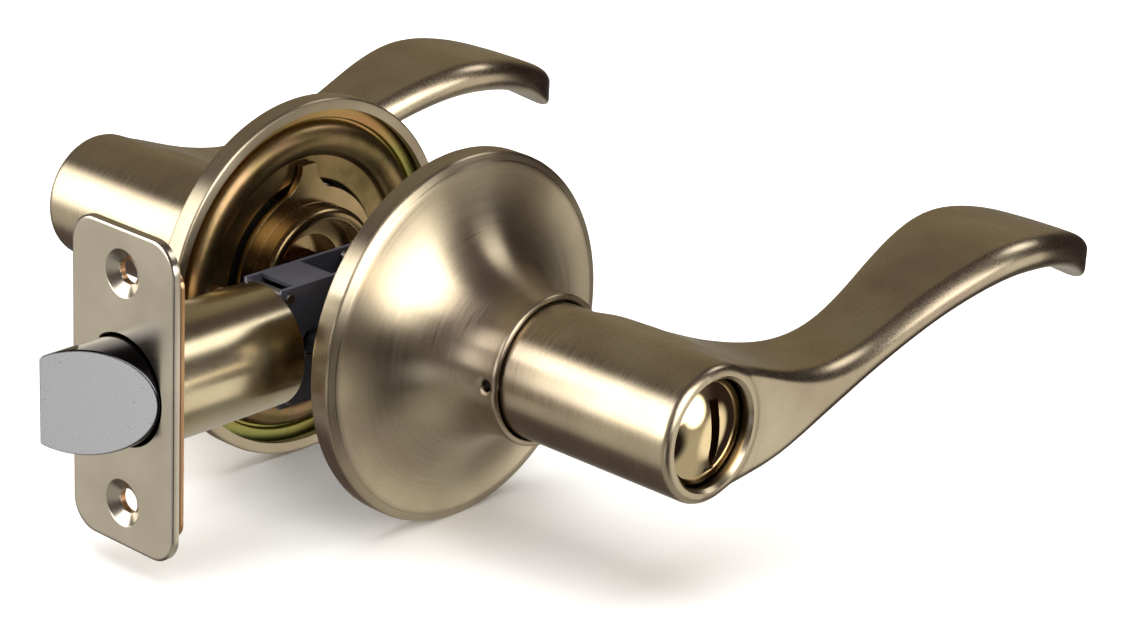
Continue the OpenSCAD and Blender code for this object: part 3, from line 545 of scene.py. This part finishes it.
def leverSkin():
    # rough solids joined by a voxel remesh, then every point is slid onto the field's zero surface
    s = leverSet
    outline = np.array([[0, s["hubStart"]], [s["hubRadius"], s["hubStart"]], [s["hubRadius"], s["hubFace"]],
                        [0, s["hubFace"]]])
    shank = spun("shankRough", outline, turns=64)
    tip = s["tipFrom"] + s["tipRound"] * np.sin(np.linspace(0.1, 1.5, 14))
    x = np.concatenate([np.linspace(-1, s["tipFrom"], 90), tip])
    middleZ, halfZ, halfY, middleY = bladeLines(np.clip(x, 0, None))
    t = np.clip((x - s["wideAt"]) / (s["length"] - s["wideAt"]), 0, 1)
    halfY = halfY * (1 - t ** s["tipPower"]) ** s["tipTaper"]
    corner = np.array([(-1, -1), (1, -1), (1, 1), (-1, 1)])
    points = np.stack([x[:, None] + 0 * corner[:, 0], middleY[:, None] + halfY[:, None] * corner[:, 0],
                       middleZ[:, None] + halfZ[:, None] * corner[:, 1]], -1)
    caps = [[0, 1, 2, 3], [4 * len(x) - k for k in (1, 2, 3, 4)]]
    faces = gridFaces(len(x), 4, False, True).tolist() + caps
    blade = meshPiece("bladeRough", points, faces)
    skin = joined("leverSkin", [shank, blade])
    step = skin.modifiers.new("voxels", "REMESH")
    step.mode, step.voxel_size = "VOXEL", s["voxel"] * mm
    bpy.context.view_layer.update()
    applyModifiers(skin)
    mesh = skin.data
    p = np.zeros(len(mesh.vertices) * 3)
    mesh.vertices.foreach_get("co", p)
    p = p.reshape(-1, 3) / mm
    edges = np.zeros(len(mesh.edges) * 2, np.int64)
    mesh.edges.foreach_get("vertices", edges)
    edges = edges.reshape(-1, 2)
    count = np.bincount(edges.ravel(), minlength=len(p))[:, None]
    for turn in range(s["roundingTurns"] + s["slidingTurns"]):
        if turn < s["roundingTurns"]:
            # each point moves half way to the middle of its neighbours, which evens out the voxels
            around = np.zeros_like(p)
            np.add.at(around, edges[:, 0], p[edges[:, 1]])
            np.add.at(around, edges[:, 1], p[edges[:, 0]])
            p = p + 0.5 * (around / count - p)
        # then it steps down the field's slope: p - f slope / |slope|^2
        for _ in range(2):
            f = leverField(p)
            slope = np.stack([leverField(p + d) - leverField(p - d) for d in 0.01 * np.eye(3)], -1) / 0.02
            size = np.maximum((slope ** 2).sum(1, keepdims=True), 0.05)
            p = p - np.clip(f[:, None] * slope / size, -0.6, 0.6)
    faces = np.zeros(len(mesh.loops), np.int64)
    mesh.loops.foreach_get("vertex_index", faces)
    bpy.data.objects.remove(skin)
    return p, faces.reshape(-1, 4)


print("levers")
skinPoints, skinFaces = leverSkin()
recessSet = {
    "radius": 9.62, "depth": 6.0, "chamfer": 0.5,      # the button's recess in the near lever
    "bore": 9.45, "wall": 6.0,                         # the shank's bore and the wall that ends it
    "bossHole": 3.3, "catchHole": 2.1, "releaseHole": 1.6, "releaseEdge": 0.8,
}
boreEnd = leverSet["hubFace"] - recessSet["depth"] - recessSet["wall"]
catchY = 38.8                # the catch and its hole, from the middle of the door


def column(radius, low, high):
    # outline of a plain round cutter, for spun
    return np.array([(0, low), (radius, low), (radius, high), (0, high)])


def leverPiece(name, side):
    # the skin, bored for the sleeve; the near one has the button's recess, the far one a release hole
    r = recessSet
    piece = meshPiece(name, skinPoints * (1, side, 1), skinFaces, 50)
    face = leverSet["hubFace"]
    cutters = [spun("boreCut", column(r["bore"], leverSet["hubStart"] - 1, boreEnd) * (1, side))]
    if side < 0:
        mouth = r["radius"] + 2 * r["chamfer"]
        cup = np.array([(0, face - r["depth"]), (r["radius"], face - r["depth"]),
                        (r["radius"], face - r["chamfer"]), (mouth, face + r["chamfer"]), (mouth, face + 2),
                        (0, face + 2)])
        hole = column(r["bossHole"], boreEnd - 1, face - 5)
        pin = column(r["catchHole"], -leverSet["hubRadius"] - 1, -7)
        cutters += [spun("cupCut", cup * (1, side)), spun("holeCut", hole * (1, side), turns=48),
                    spun("pinCut", pin, "x", 48, (0, -catchY, 0))]
    else:
        hole, edge = r["releaseHole"], r["releaseEdge"]
        release = np.array([(0, boreEnd - 1), (hole, boreEnd - 1), (hole, face - 0.5),
                            (hole + edge, face + 0.3), (0, face + 0.3)])
        cutters += [spun("releaseCut", release, turns=48)]
    return combine(piece, cutters, sharpAngle=40)


def place(piece, body, slotName, materialName, *nodes):
    # gives a finished piece its material, the body it rides on and the nodes it stands for
    piece.data.materials.clear()
    piece.data.materials.append(materials[materialName])
    if materialName not in ("lever", "rose"):
        # wide flat faces keep their own normals and the broken edges blend between them
        piece.modifiers.new("normals", "WEIGHTED_NORMAL").keep_sharp = True
    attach(piece, body)
    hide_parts(*nodes)
    return piece


place(leverPiece("inner_lever_cast", -1), "inner_handle", "antique_brass", "lever", "inner_lever")
place(leverPiece("outer_lever_cast", 1), "outer_handle", "antique_brass", "lever", "outer_lever")


print("roses")
roseLow, roseHigh = boxOf("outer_rose")
roseSet = {
    "radius": roseHigh[0], "door": roseLow[1], "front": roseHigh[1],
    "rim": 4.0, "rimEdge": 0.7, "land": 1.5, "wall": 0.9, "rimWall": 1.2, "lip": 2.1, "lipHeight": 1.4,
    "bellRadius": 31.7, "bellAt": 22.2, "neckRadius": 13.5, "neckAt": 37.5,
    "pinHole": 1.1,
}


def roseOutline():
    # rim, a land, the hollow bell, the neck with its rolled edge, and back inside; the bell is a quarter of
    # an ellipse: radius = bellRadius - a sin t, height = neckAt - b cos t
    s = roseSet
    turn = np.linspace(0, math.pi / 2, 48)
    def bell(inset):
        a = s["bellRadius"] - s["neckRadius"] + inset
        b = s["neckAt"] - s["bellAt"] + inset
        return np.stack([s["bellRadius"] - a * np.sin(turn), s["neckAt"] - b * np.cos(turn)], -1)
    rim = roundedOutline([
        (s["radius"] - s["lip"], s["door"], 0), (s["radius"], s["door"], 0.5),
        (s["radius"], s["door"] + s["rim"], s["rimEdge"]),
        (s["radius"] - s["land"], s["door"] + s["rim"] + 0.45, 0.15),
        (s["radius"] - s["land"] - 0.25, s["bellAt"] - 0.12, 0.1),
        (s["bellRadius"] - 0.1, s["bellAt"], 0)], 6)
    neck = roundedOutline([
        (s["neckRadius"], s["front"] - 1.6, 0), (s["neckRadius"] + 0.22, s["front"] - 0.7, 0.5),
        (s["neckRadius"] + 0.1, s["front"], 0.45), (s["neckRadius"] - s["wall"], s["front"], 0.3),
        (s["neckRadius"] - s["wall"], s["neckAt"] + 0.3, 0)], 6)
    inside = roundedOutline([
        (s["radius"] - s["rimWall"], s["bellAt"] - s["wall"], 0),
        (s["radius"] - s["rimWall"], s["door"] + s["lipHeight"], 0.1),
        (s["radius"] - s["lip"], s["door"] + s["lipHeight"], 0)], 3)
    return np.concatenate([rim, bell(0)[1:], neck, bell(s["wall"])[::-1], inside])


def rosePiece(name, side):
    # the outline spun round Y; the near rose has the hole for the release pin
    piece = spun(name, roseOutline() * (1, side), turns=256, sharpAngle=40)
    if side < 0:
        # the release hole is drilled through the neck and countersunk a little
        r, neck = roseSet["pinHole"], -roseSet["neckRadius"]
        drill = np.array([(0, neck - 2), (2.4 * r, neck - 2), (1.75 * r, neck - 0.02), (r, neck + 0.42),
                          (r, neck + 3), (0, neck + 3)])
        combine(piece, [spun("drill", drill, "x", 48, (0, -catchY, 0))], sharpAngle=40)
    return piece


place(rosePiece("inner_rose_pressed", -1), "chassis", "antique_brass", "rose", "inner_rose")
place(rosePiece("outer_rose_pressed", 1), "chassis", "antique_brass", "rose", "outer_rose")


print("mounting plates")
plateHigh = boxOf("outer_mounting_plate")[1]
plateSet = {
    "bore": 17.8, "face": 17.9, "floor": 20.3, "thick": 1.2, "flange": 19.6,
    "beadIn": 22.7, "beadOut": 29.0, "groove": 20.55, "grooveOut": 29.5, "outer": plateHigh[0],
    "postRadius": 1.3, "postTop": 22.6, "postAngles": (125, 180, 235),
    "screwX": 21.0, "padRadius": 4.1, "headRadius": 3.9, "nearHole": 2.3, "farHole": 2.1,
    "boss": 2.85, "bossBore": 2.2, "bossFront": 19.1, "bossBack": 22.2, "thread": 1.95, "threadDeep": 0.14,
    "earAngle": 103.2, "ear": (15.8, 18.2, 2.0),       # degrees from the top; inner and outer radius, width
}


def plateOutline():
    # open middle with a rolled edge, sunk floor, round bead (half an ellipse), a groove and the flange
    s = plateSet
    turn = np.radians(np.linspace(188, 344, 40))
    middle, half = (s["beadIn"] + s["beadOut"]) / 2, (s["beadOut"] - s["beadIn"]) / 2
    def bead(inset):
        return np.stack([middle + (half - inset) * np.cos(turn),
                         s["floor"] + (s["floor"] - s["face"] - inset) * np.sin(turn)], -1)
    floorLine = roundedOutline([(s["bore"], s["floor"] + s["thick"], 0), (s["bore"], s["floor"], 0.55),
                                (s["beadIn"] - 0.3, s["floor"], 0)], 6)
    edge = roundedOutline([
        (s["beadOut"] + 0.05, s["groove"], 0), (s["grooveOut"], s["groove"], 0.1),
        (s["grooveOut"], s["flange"], 0.3),
        (s["outer"], s["flange"] + 0.1, 0.2), (s["outer"], s["flange"] + s["thick"], 0.2),
        (s["beadOut"] - 0.2, s["flange"] + s["thick"] + 0.3, 0)], 5)
    back = np.array([(s["beadIn"] + s["thick"], s["floor"] + s["thick"])])
    return np.concatenate([floorLine, bead(0), edge, bead(s["thick"])[::-1], back])


def drilled(x, radius, low, high, turns=48):
    # a plain round cutter along Y through (x, 0)
    return spun("drilled", column(radius, low, high), turns=turns, at=(x, 0, 0))


def platePiece(name, side):
    # the spun plate with its screw holes, the posts of the spring cover and the spring's ear
    s = plateSet
    def ends(low, high):
        return sorted((side * low, side * high))
    plate = spun(name, plateOutline() * (1, side), turns=256)
    screws = (-s["screwX"], s["screwX"])
    extras = []
    if side < 0:
        # a raised pad under each screw's head, with the sunk floor and bead cut away round the head
        padBack = s["face"] + s["thick"]
        combine(plate, [drilled(x, s["headRadius"], *ends(padBack, s["floor"] + 4)) for x in screws])
        pad = roundedOutline([(0, s["face"], 0), (s["padRadius"], s["face"], 0.3),
                              (s["padRadius"], padBack, 0.1), (0, padBack, 0)], 4) * (1, side)
        combine(plate, [spun("pad", pad, turns=64, at=(x, 0, 0)) for x in screws], "UNION")
        combine(plate, [drilled(x, s["nearHole"], *ends(s["face"] - 1, s["face"] + 3)) for x in screws]
                + [drilled(0, s["bore"], *ends(s["face"] - 1, padBack + 0.5), 256)])
    else:
        combine(plate, [drilled(x, s["farHole"], *ends(s["face"] - 1, s["floor"] + 4)) for x in screws])
        for x in screws:
            # a threaded boss that the mounting screw pulls on, with the thread as rings inside
            rings = [(s["thread"] + s["threadDeep"] * (i % 2), s["bossBack"] - 0.3 - 0.3 * i, 0.04)
                     for i in range(9)]
            boss = roundedOutline([(s["bossBore"], s["bossFront"], 0.15), (s["boss"], s["bossFront"], 0.4),
                                   (s["boss"], s["bossBack"], 0.3), (s["bossBore"] - 0.1, s["bossBack"], 0.1)]
                                  + rings, 3)
            extras.append(spun("boss", boss, turns=64, at=(x, 0, 0)))
    for angle in np.radians(s["postAngles"]):
        post = roundedOutline([(0, s["floor"] + 0.6, 0), (s["postRadius"], s["floor"] + 0.6, 0),
                               (s["postRadius"], s["postTop"], 0.3), (0, s["postTop"], 0)], 4)
        orbit = s["bore"] + s["postRadius"] + 0.1
        extras.append(spun("post", post * (1, side), turns=32,
                           at=(orbit * math.sin(angle), 0, orbit * math.cos(angle))))
    # the ear that the return spring's fixed end rests on
    inner, outer, width = s["ear"]
    low, high = ends(s["floor"] + 0.02, s["floor"] + 1.85)
    ear = bevelled(extruded("ear", np.array([(-width / 2, inner), (width / 2, inner), (width / 2, outer),
                                             (-width / 2, outer)]), low, high), 0.2)
    ear.data.transform(Matrix.Rotation(math.radians(s["earAngle"]), 4, "Y"))
    return joined(name + "_drawn", [plate, ear] + extras)


place(platePiece("inner_plate", -1), "chassis", "dichromate_steel", "dichromate", "inner_mounting_plate")
place(platePiece("outer_plate", 1), "chassis", "dichromate_steel", "dichromate", "outer_mounting_plate")


print("latch")
faceLow, faceHigh = boxOf("latch_faceplate")
backLow, backHigh = boxOf("latch_backplate")
boltSet = {"radius": 9.4, "flat": 5.3, "gap": 0.35, "bevelBack": faceLow[0] - 0.4}
faceSet = {
    "corner": 5.2, "backCorner": 3.0, "edge": 0.35, "backEdge": 0.2,
    "holeSpan": 41.3, "hole": 2.2, "sink": 4.3, "sinkSlope": 0.62,
}


def boltSection(grow, angle):
    # the bolt's outline by angle: a circle with one flat, towards +Y
    radius = boltSet["radius"] + grow
    flat = (boltSet["flat"] + grow) / np.maximum(np.cos(angle), 1e-3)
    reach = np.where(np.cos(angle) > 0, np.minimum(radius, flat), radius)
    return np.stack([reach * np.cos(angle), reach * np.sin(angle)], -1)


def strapPiece(name, low, high, corner, edge):
    # a flat strap round the bolt's hole: rings of points from its outline in to the hole, front and back
    w, h = high[1], high[2]
    outline = roundedOutline([(w, -h, corner), (w, h, corner), (-w, h, corner), (-w, -h, corner)], 14)
    share = np.linspace(0, 1, 24, endpoint=False)[:, None]
    filled = (outline[:, None] * (1 - share) + np.roll(outline, -1, 0)[:, None] * share)
    long = np.linalg.norm(np.roll(outline, -1, 0) - outline, axis=1) > 2
    outline = np.concatenate([filled[i] if long[i] else outline[i:i + 1] for i in range(len(outline))])
    angle = np.arctan2(outline[:, 1], outline[:, 0])
    hole = boltSection(boltSet["gap"], angle)
    def ring(points, x):
        return np.concatenate([np.full((len(points), 1), x), points], 1)
    inset = outline - np.sign(outline) * edge * 0.9 * np.minimum(1, np.abs(outline) / 3)
    grow = hole * (1 + edge * 0.6 / np.linalg.norm(hole, axis=1, keepdims=True))
    rings = [ring(outline, high[0] - 0.15), ring(outline, low[0] + edge),
             ring((outline + inset) / 2, low[0] + 0.3 * edge), ring(inset, low[0]),
             ring(inset * 0.985, low[0]), ring(grow * 1.03, low[0]), ring(grow, low[0]),
             ring(hole, low[0] + 0.6 * edge), ring(hole, high[0] - 0.05), ring(hole * 1.01, high[0]),
             ring(inset, high[0])]
    return meshPiece(name, np.array(rings), gridFaces(len(rings), len(outline), True, True), 40)


def screwCutters(front, back, hole, sink):
    # a drilled hole with a wide rounded countersink at the front
    depth = (sink - hole) * faceSet["sinkSlope"]
    outline = np.array([(0, front - 1), (sink + 0.8, front - 1), (sink + 0.1, front - 0.02),
                        (sink - 0.25, front + 0.14), (hole + 0.15, front + depth),
                        (hole, front + depth + 0.15), (hole, back + 1), (0, back + 1)])
    half = faceSet["holeSpan"] / 2
    return [spun("sink", outline, "x", 64, (0, 0, z)) for z in (-half, half)]


face = strapPiece("latch_faceplate_stamped", faceLow, faceHigh, faceSet["corner"], faceSet["edge"])
combine(face, screwCutters(faceLow[0], faceHigh[0], faceSet["hole"], faceSet["sink"]), sharpAngle=40)
place(face, "chassis", "satin_nickel_plate", "nickel", "latch_faceplate")
back = strapPiece("latch_backplate_stamped", backLow, backHigh, faceSet["backCorner"], faceSet["backEdge"])
plain = screwCutters(backLow[0] - 3, backHigh[0], faceSet["hole"], faceSet["hole"] + 0.01)
combine(back, plain, sharpAngle=40)
place(back, "chassis", "copper_plate", "copper", "latch_backplate")

tubeLow, tubeHigh = boxOf("latch_tube")
tubeOut, tubeIn = tubeHigh[1], tubeHigh[1] - 1
tube = spun("latch_tube_drawn", roundedOutline([
    (tubeOut, tubeLow[0], 0.1), (tubeOut, tubeHigh[0], 0.45), (tubeIn, tubeHigh[0], 0.3),
    (tubeIn, tubeLow[0], 0.1)], 6), "x", 192)
place(tube, "chassis", "tube_brass", "tube", "latch_tube")

boltLow, boltHigh = boxOf("latch_bolt")


def boltPiece():
    # the section carried along X; its front follows the bevel plane from the flat side to the round one
    flatCorner = math.acos(boltSet["flat"] / boltSet["radius"])
    angle = np.linspace(flatCorner, 2 * math.pi - flatCorner, 120)
    section = boltSection(0, angle)
    share = (boltSet["flat"] - section[:, 0]) / (boltSet["flat"] + boltSet["radius"])
    front = boltLow[0] + 0.15 + share * (boltSet["bevelBack"] - boltLow[0])
    rings = [np.concatenate([front[:, None], section], 1),
             np.concatenate([np.full((len(section), 1), boltHigh[0]), section], 1)]
    count = len(section)
    faces = gridFaces(2, count, False, True).tolist() + [list(range(count)), list(range(count, 2 * count))]
    return bevelled(meshPiece("latch_bolt_cast", np.array(rings), faces), 0.5, 3, 30)


bolt = place(boltPiece(), "bolt", "chrome_bolt", "chrome", "latch_bolt")
# the round sides' chrome is painted dark: painted shade over a real near-mirror finish
bolt.data.materials.append(materials["mirror"])
for face in bolt.data.polygons:
    face.material_index = 0 if face.normal.x < -0.6 else 1        # the bevel stays satin; the round sides take the near-mirror chrome painted dark as shade


print("turn button")
buttonLow, buttonHigh = boxOf("turn_button")
buttonSet = {
    "radius": 9.2, "rise": 2.2, "base": 72.4, "boss": 3.0,
    "slotTop": 6.2, "slotTurn": -3.4, "slotPoint": -6.4, "slotHalf": 1.05, "slotDepth": 3.6,
}


def buttonPiece():
    # a dome on a short barrel, with a boss behind and a slot that ends in a point; the dome is part of a
    # ball: y = top - ball + sqrt(ball^2 - r^2), where ball = (radius^2 + rise^2) / (2 rise)
    s = buttonSet
    top = -buttonLow[1]
    ball = (s["radius"] ** 2 + s["rise"] ** 2) / (2 * s["rise"])
    r = np.linspace(0, s["radius"] - 0.35, 40)
    dome = np.stack([r, top - ball + np.sqrt(ball ** 2 - r ** 2)], -1)
    side = roundedOutline([(s["radius"], dome[-1, 1] - 0.25, 0), (s["radius"], s["base"], 0.2),
                           (s["boss"], s["base"], 0.3), (s["boss"], -buttonHigh[1], 0.3),
                           (0, -buttonHigh[1], 0)], 5)
    piece = spun("turn_button_polished", np.concatenate([dome, side]) * (1, -1), turns=192, sharpAngle=40)
    slot = [(s["slotHalf"], s["slotTop"]), (-s["slotHalf"], s["slotTop"]), (-s["slotHalf"], s["slotTurn"]),
            (0.15, s["slotPoint"]), (s["slotHalf"], s["slotTurn"])]
    cutter = extruded("slotCut", slot, -top - 3, -top + s["slotDepth"])
    return bevelled(combine(piece, [cutter], sharpAngle=30), 0.1, 2, 40)


button = place(buttonPiece(), "button", "polished_brass", "polished", "turn_button")
button.data.materials.append(materials["slot"])       # the walls and floor of the slot get painted shade, a dark brass
# faces deep in the slot take the dark material: painted shade
for face in button.data.polygons:
    spot = face.center / mm
    across = abs(spot.x) < buttonSet["slotHalf"] + 0.15
    along = buttonSet["slotPoint"] - 0.2 < spot.z < buttonSet["slotTop"] + 0.2
    deep = buttonLow[1] + 0.9 < spot.y < -buttonSet["base"] - 0.2
    face.material_index = 1 if across and along and deep else 0


print("springs")


# the bolt's and catch's springs are drawn closed up against the piece they push, as they are when it is
# drawn in, so that they clear their seats all the way
springSet = {
    "boltWire": 0.8, "boltTurns": 3, "boltTravel": 11.8,
    "catchWire": 0.35, "catchTurns": 3, "catchTravel": 2.3,
}


def closedCoil(name, node, wire, turns, travel):
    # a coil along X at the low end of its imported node's box: length = box length - travel
    low, high = boxOf(node)
    radius = (high[2] - low[2]) / 2 - wire / 2
    return coil(name, radius, wire, low[0] + wire / 2, high[0] - wire / 2 - travel, turns, "x")


boltCoil = closedCoil("bolt_spring_coil", "bolt_spring", springSet["boltWire"], springSet["boltTurns"],
                      springSet["boltTravel"])
place(boltCoil, "bolt", "spring_steel", "spring", "bolt_spring")
catchCoil = closedCoil("catch_spring_coil", "catch_spring", springSet["catchWire"], springSet["catchTurns"],
                       springSet["catchTravel"])
catchCoil.data.transform(Matrix.Translation((0, -catchY * mm, 0)))
place(catchCoil, "catch", "spring_steel", "spring", "catch_spring")


returnSet = {"radius": 13.6, "wire": 1.0, "turns": 2.35, "from": math.radians(112)}


def returnSpring(side, node):
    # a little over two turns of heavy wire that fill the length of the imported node
    s = returnSet
    low, high = boxOf(node)
    ends = sorted((low[1] + s["wire"] / 2, high[1] - s["wire"] / 2), reverse=side < 0)
    return coil(node + "_coil", s["radius"], s["wire"], *ends, s["turns"], "y", s["from"])


place(returnSpring(-1, "inner_return_spring"), "chassis", "spring_steel", "spring", "inner_return_spring")
place(returnSpring(1, "outer_return_spring"), "chassis", "spring_steel", "spring", "outer_return_spring")


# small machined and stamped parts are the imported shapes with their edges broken
print("small parts")
smallParts = [
    # node, body, slot, material, edge width in mm
    ("inner_driver", "inner_handle", "dichromate_steel", "driver", 0.28),
    ("outer_driver", "outer_handle", "dichromate_steel", "driver", 0.28),
    ("inner_spring_cover", "chassis", "zinc_steel", "zinc", 0.12),
    ("outer_spring_cover", "chassis", "zinc_steel", "zinc", 0.12),
    ("mounting_screws", "chassis", "zinc_steel", "zinc", 0.15),
    ("latch_case", "chassis", "gunmetal_case", "gunmetal", 0.2),
    ("case_rivets", "chassis", "zinc_steel", "zinc", 0.15),
    ("inner_retaining_ring", "inner_handle", "spring_steel", "spring", 0.12),
    ("outer_retaining_ring", "outer_handle", "spring_steel", "spring", 0.12),
    ("spindle", "inner_handle", "spindle_bronze", "bronze", 0.25),
    ("latch_cam", "inner_handle", "zinc_steel", "zinc", 0.2),
    ("catch_guide", "inner_handle", "zinc_steel", "zinc", 0.1),
    ("lever_catch", "catch", "zinc_steel", "zinc", 0.2),
    ("lock_stem", "button", "zinc_steel", "bronze", 0.2),
    ("lock_cam", "button", "zinc_steel", "zinc", 0.2),
    ("bolt_tail", "bolt", "zinc_steel", "zinc", 0.15),
    ("bolt_pin", "bolt", "zinc_steel", "zinc", 0.15),
]
for node, body, slotName, materialName, width in smallParts:
    place(edgedCopy(node, width), body, slotName, materialName, node)


print("stage")
viewSet = {"azimuth": -48.884, "elevation": 21.229, "roll": -3.003, "across": 32.831, "up": 0.782,
           "distance": 570.635, "lens": 101.93}


def makeCamera():
    # looks along forward from a place given in its own axes; roll turns it about that line
    s = viewSet
    a, e, r = (math.radians(s[k]) for k in ("azimuth", "elevation", "roll"))
    forward = Vector((-math.sin(a) * math.cos(e), math.cos(a) * math.cos(e), -math.sin(e)))
    right = Vector((math.cos(a), math.sin(a), 0))
    up = right.cross(forward)
    place = (right * s["across"] + up * s["up"] - forward * s["distance"]) * mm
    sideways = right * math.cos(r) - up * math.sin(r)
    upward = right * math.sin(r) + up * math.cos(r)
    data = bpy.data.cameras.new("camera")
    data.lens, data.sensor_width = s["lens"], 36
    data.clip_start, data.clip_end = 0.01, 20
    camera = bpy.data.objects.new("camera", data)
    scene.collection.objects.link(camera)
    turned = Matrix((sideways, upward, -forward)).transposed()
    camera.matrix_world = Matrix.Translation(place) @ turned.to_4x4()
    scene.camera = camera
    return camera


makeCamera()
floorSet = {"size": 12.0, "colour": "#f6f5f3"}
floorZ = cadBox[0].z
half = floorSet["size"] / 2
floorMesh = bpy.data.meshes.new("floor")
corners = [(x * half, y * half, floorZ) for x, y in ((-1, -1), (1, -1), (1, 1), (-1, 1))]
floorMesh.from_pydata(corners, [], [(0, 1, 2, 3)])
floor = bpy.data.objects.new("floor", floorMesh)
scene.collection.objects.link(floor)
paper = newMaterial("studio_paper", {"Roughness": 0.9, "Base Color": tint(floorSet["colour"])})[0]
floor.data.materials.append(paper)
floor.visible_glossy = False       # the metal mirrors the studio's panels below, not the paper

# one wide lamp overhead for the paper and the soft shadow; the metal mirrors the panels instead
lampSet = {"place": (0.05, -0.1, 1.3), "size": 1.7, "watts": 34.0}
lampData = bpy.data.lights.new("overhead", "AREA")
lampData.size, lampData.energy = lampSet["size"], lampSet["watts"]
lamp = bpy.data.objects.new("overhead", lampData)
scene.collection.objects.link(lamp)
lamp.location = lampSet["place"]
lamp.visible_glossy = False

# soft panels round the object: direction, full and faded half angle in degrees, sRGB tint, brightness
panelSet = [
    ((0.97, -0.20, -0.15), 30, 46, "#a88c8c", 0.08),     # dark, right
    ((0.70, 0.61, 0.36), 18, 36, "#c0b090", 0.55),       # dim, behind on the right
    ((0.22, 0.61, 0.73), 16, 34, "#c8bca4", 0.50),       # dim, above and behind
    ((-0.10, 0.62, -0.78), 25, 45, "#b8a6a0", 0.28),     # dark, below and behind
    ((0.70, -0.61, -0.36), 11, 19, "#f7f2e6", 1.25),     # below, front right
    ((-0.10, -0.91, -0.40), 14, 24, "#a88c8c", 0.04),    # dark, below the front
    ((-0.50, -0.78, -0.36), 12, 20, "#a88c8c", 0.05),    # dark, further left
    ((-0.71, -0.60, -0.36), 6, 12, "#f2f4f8", 1.30),     # below, front left
    ((-0.70, 0.61, -0.36), 14, 28, "#f7f2e6", 0.84),     # below, behind on the left
    ((-0.93, 0.33, 0.14), 7, 15, "#fffdf8", 5.0),        # bright, left
    ((-0.71, 0.60, 0.30), 15, 31, "#fffdf8", 4.8),       # bright, behind on the left
    ((0.70, -0.36, 0.61), 6, 14, "#fffdf8", 3.2),        # bright, high in front on the right
    ((-0.20, -0.80, 0.56), 10, 20, "#fffdf8", 5.0),      # bright, above the front
    ((0.38, -0.92, 0.02), 7, 15, "#fffdf8", 4.5),        # bright, in front on the right
    ((0.05, -0.96, 0.24), 13, 22, "#fffdf8", 6.5),       # bright, in front
]


# tint and brightness of the two parts, and the heights between which one becomes the other
skySet = {"below": ("#f0ebdf", 0.58), "above": ("#b8a6a6", 0.20), "change": (-0.30, 0.05)}


def studioWorld():
    # each panel is a soft disc laid over a sky that is dark above and pale below
    world = bpy.data.worlds.new("studio")
    world.use_nodes = True
    tree = world.node_tree
    toward = addNode(tree, "TexCoord").outputs["Generated"]
    height = addNode(tree, "SeparateXYZ", links={"Vector": toward}).outputs["Z"]
    low, high = skySet["change"]
    upper = addNode(tree, "MapRange", {"From Min": low, "From Max": high}, {"Value": height}).outputs[0]
    def bright(code, level):
        return (*[level * v for v in tint(code)[:3]], 1)
    below, above = skySet["below"], skySet["above"]
    colour = addNode(tree, "Mix", {"data_type": "RGBA", 6: bright(*below), 7: bright(*above)},
                     {0: upper}).outputs[2]
    for direction, full, faded, code, level in panelSet:
        unit = tuple(Vector(direction).normalized())
        facing = addNode(tree, "VectorMath", {"operation": "DOT_PRODUCT", 1: unit}, {0: toward})
        mask = addNode(tree, "MapRange", {"interpolation_type": "SMOOTHSTEP",
                                          "From Min": math.cos(math.radians(faded)),
                                          "From Max": math.cos(math.radians(full))},
                       {"Value": facing.outputs["Value"]}).outputs[0]
        colour = addNode(tree, "Mix", {"data_type": "RGBA", 7: bright(code, level)},
                         {0: mask, 6: colour}).outputs[2]
    tree.links.new(colour, tree.nodes["Background"].inputs["Color"])
    return world


scene.world = studioWorld()
scene.view_settings.view_transform = "Standard"
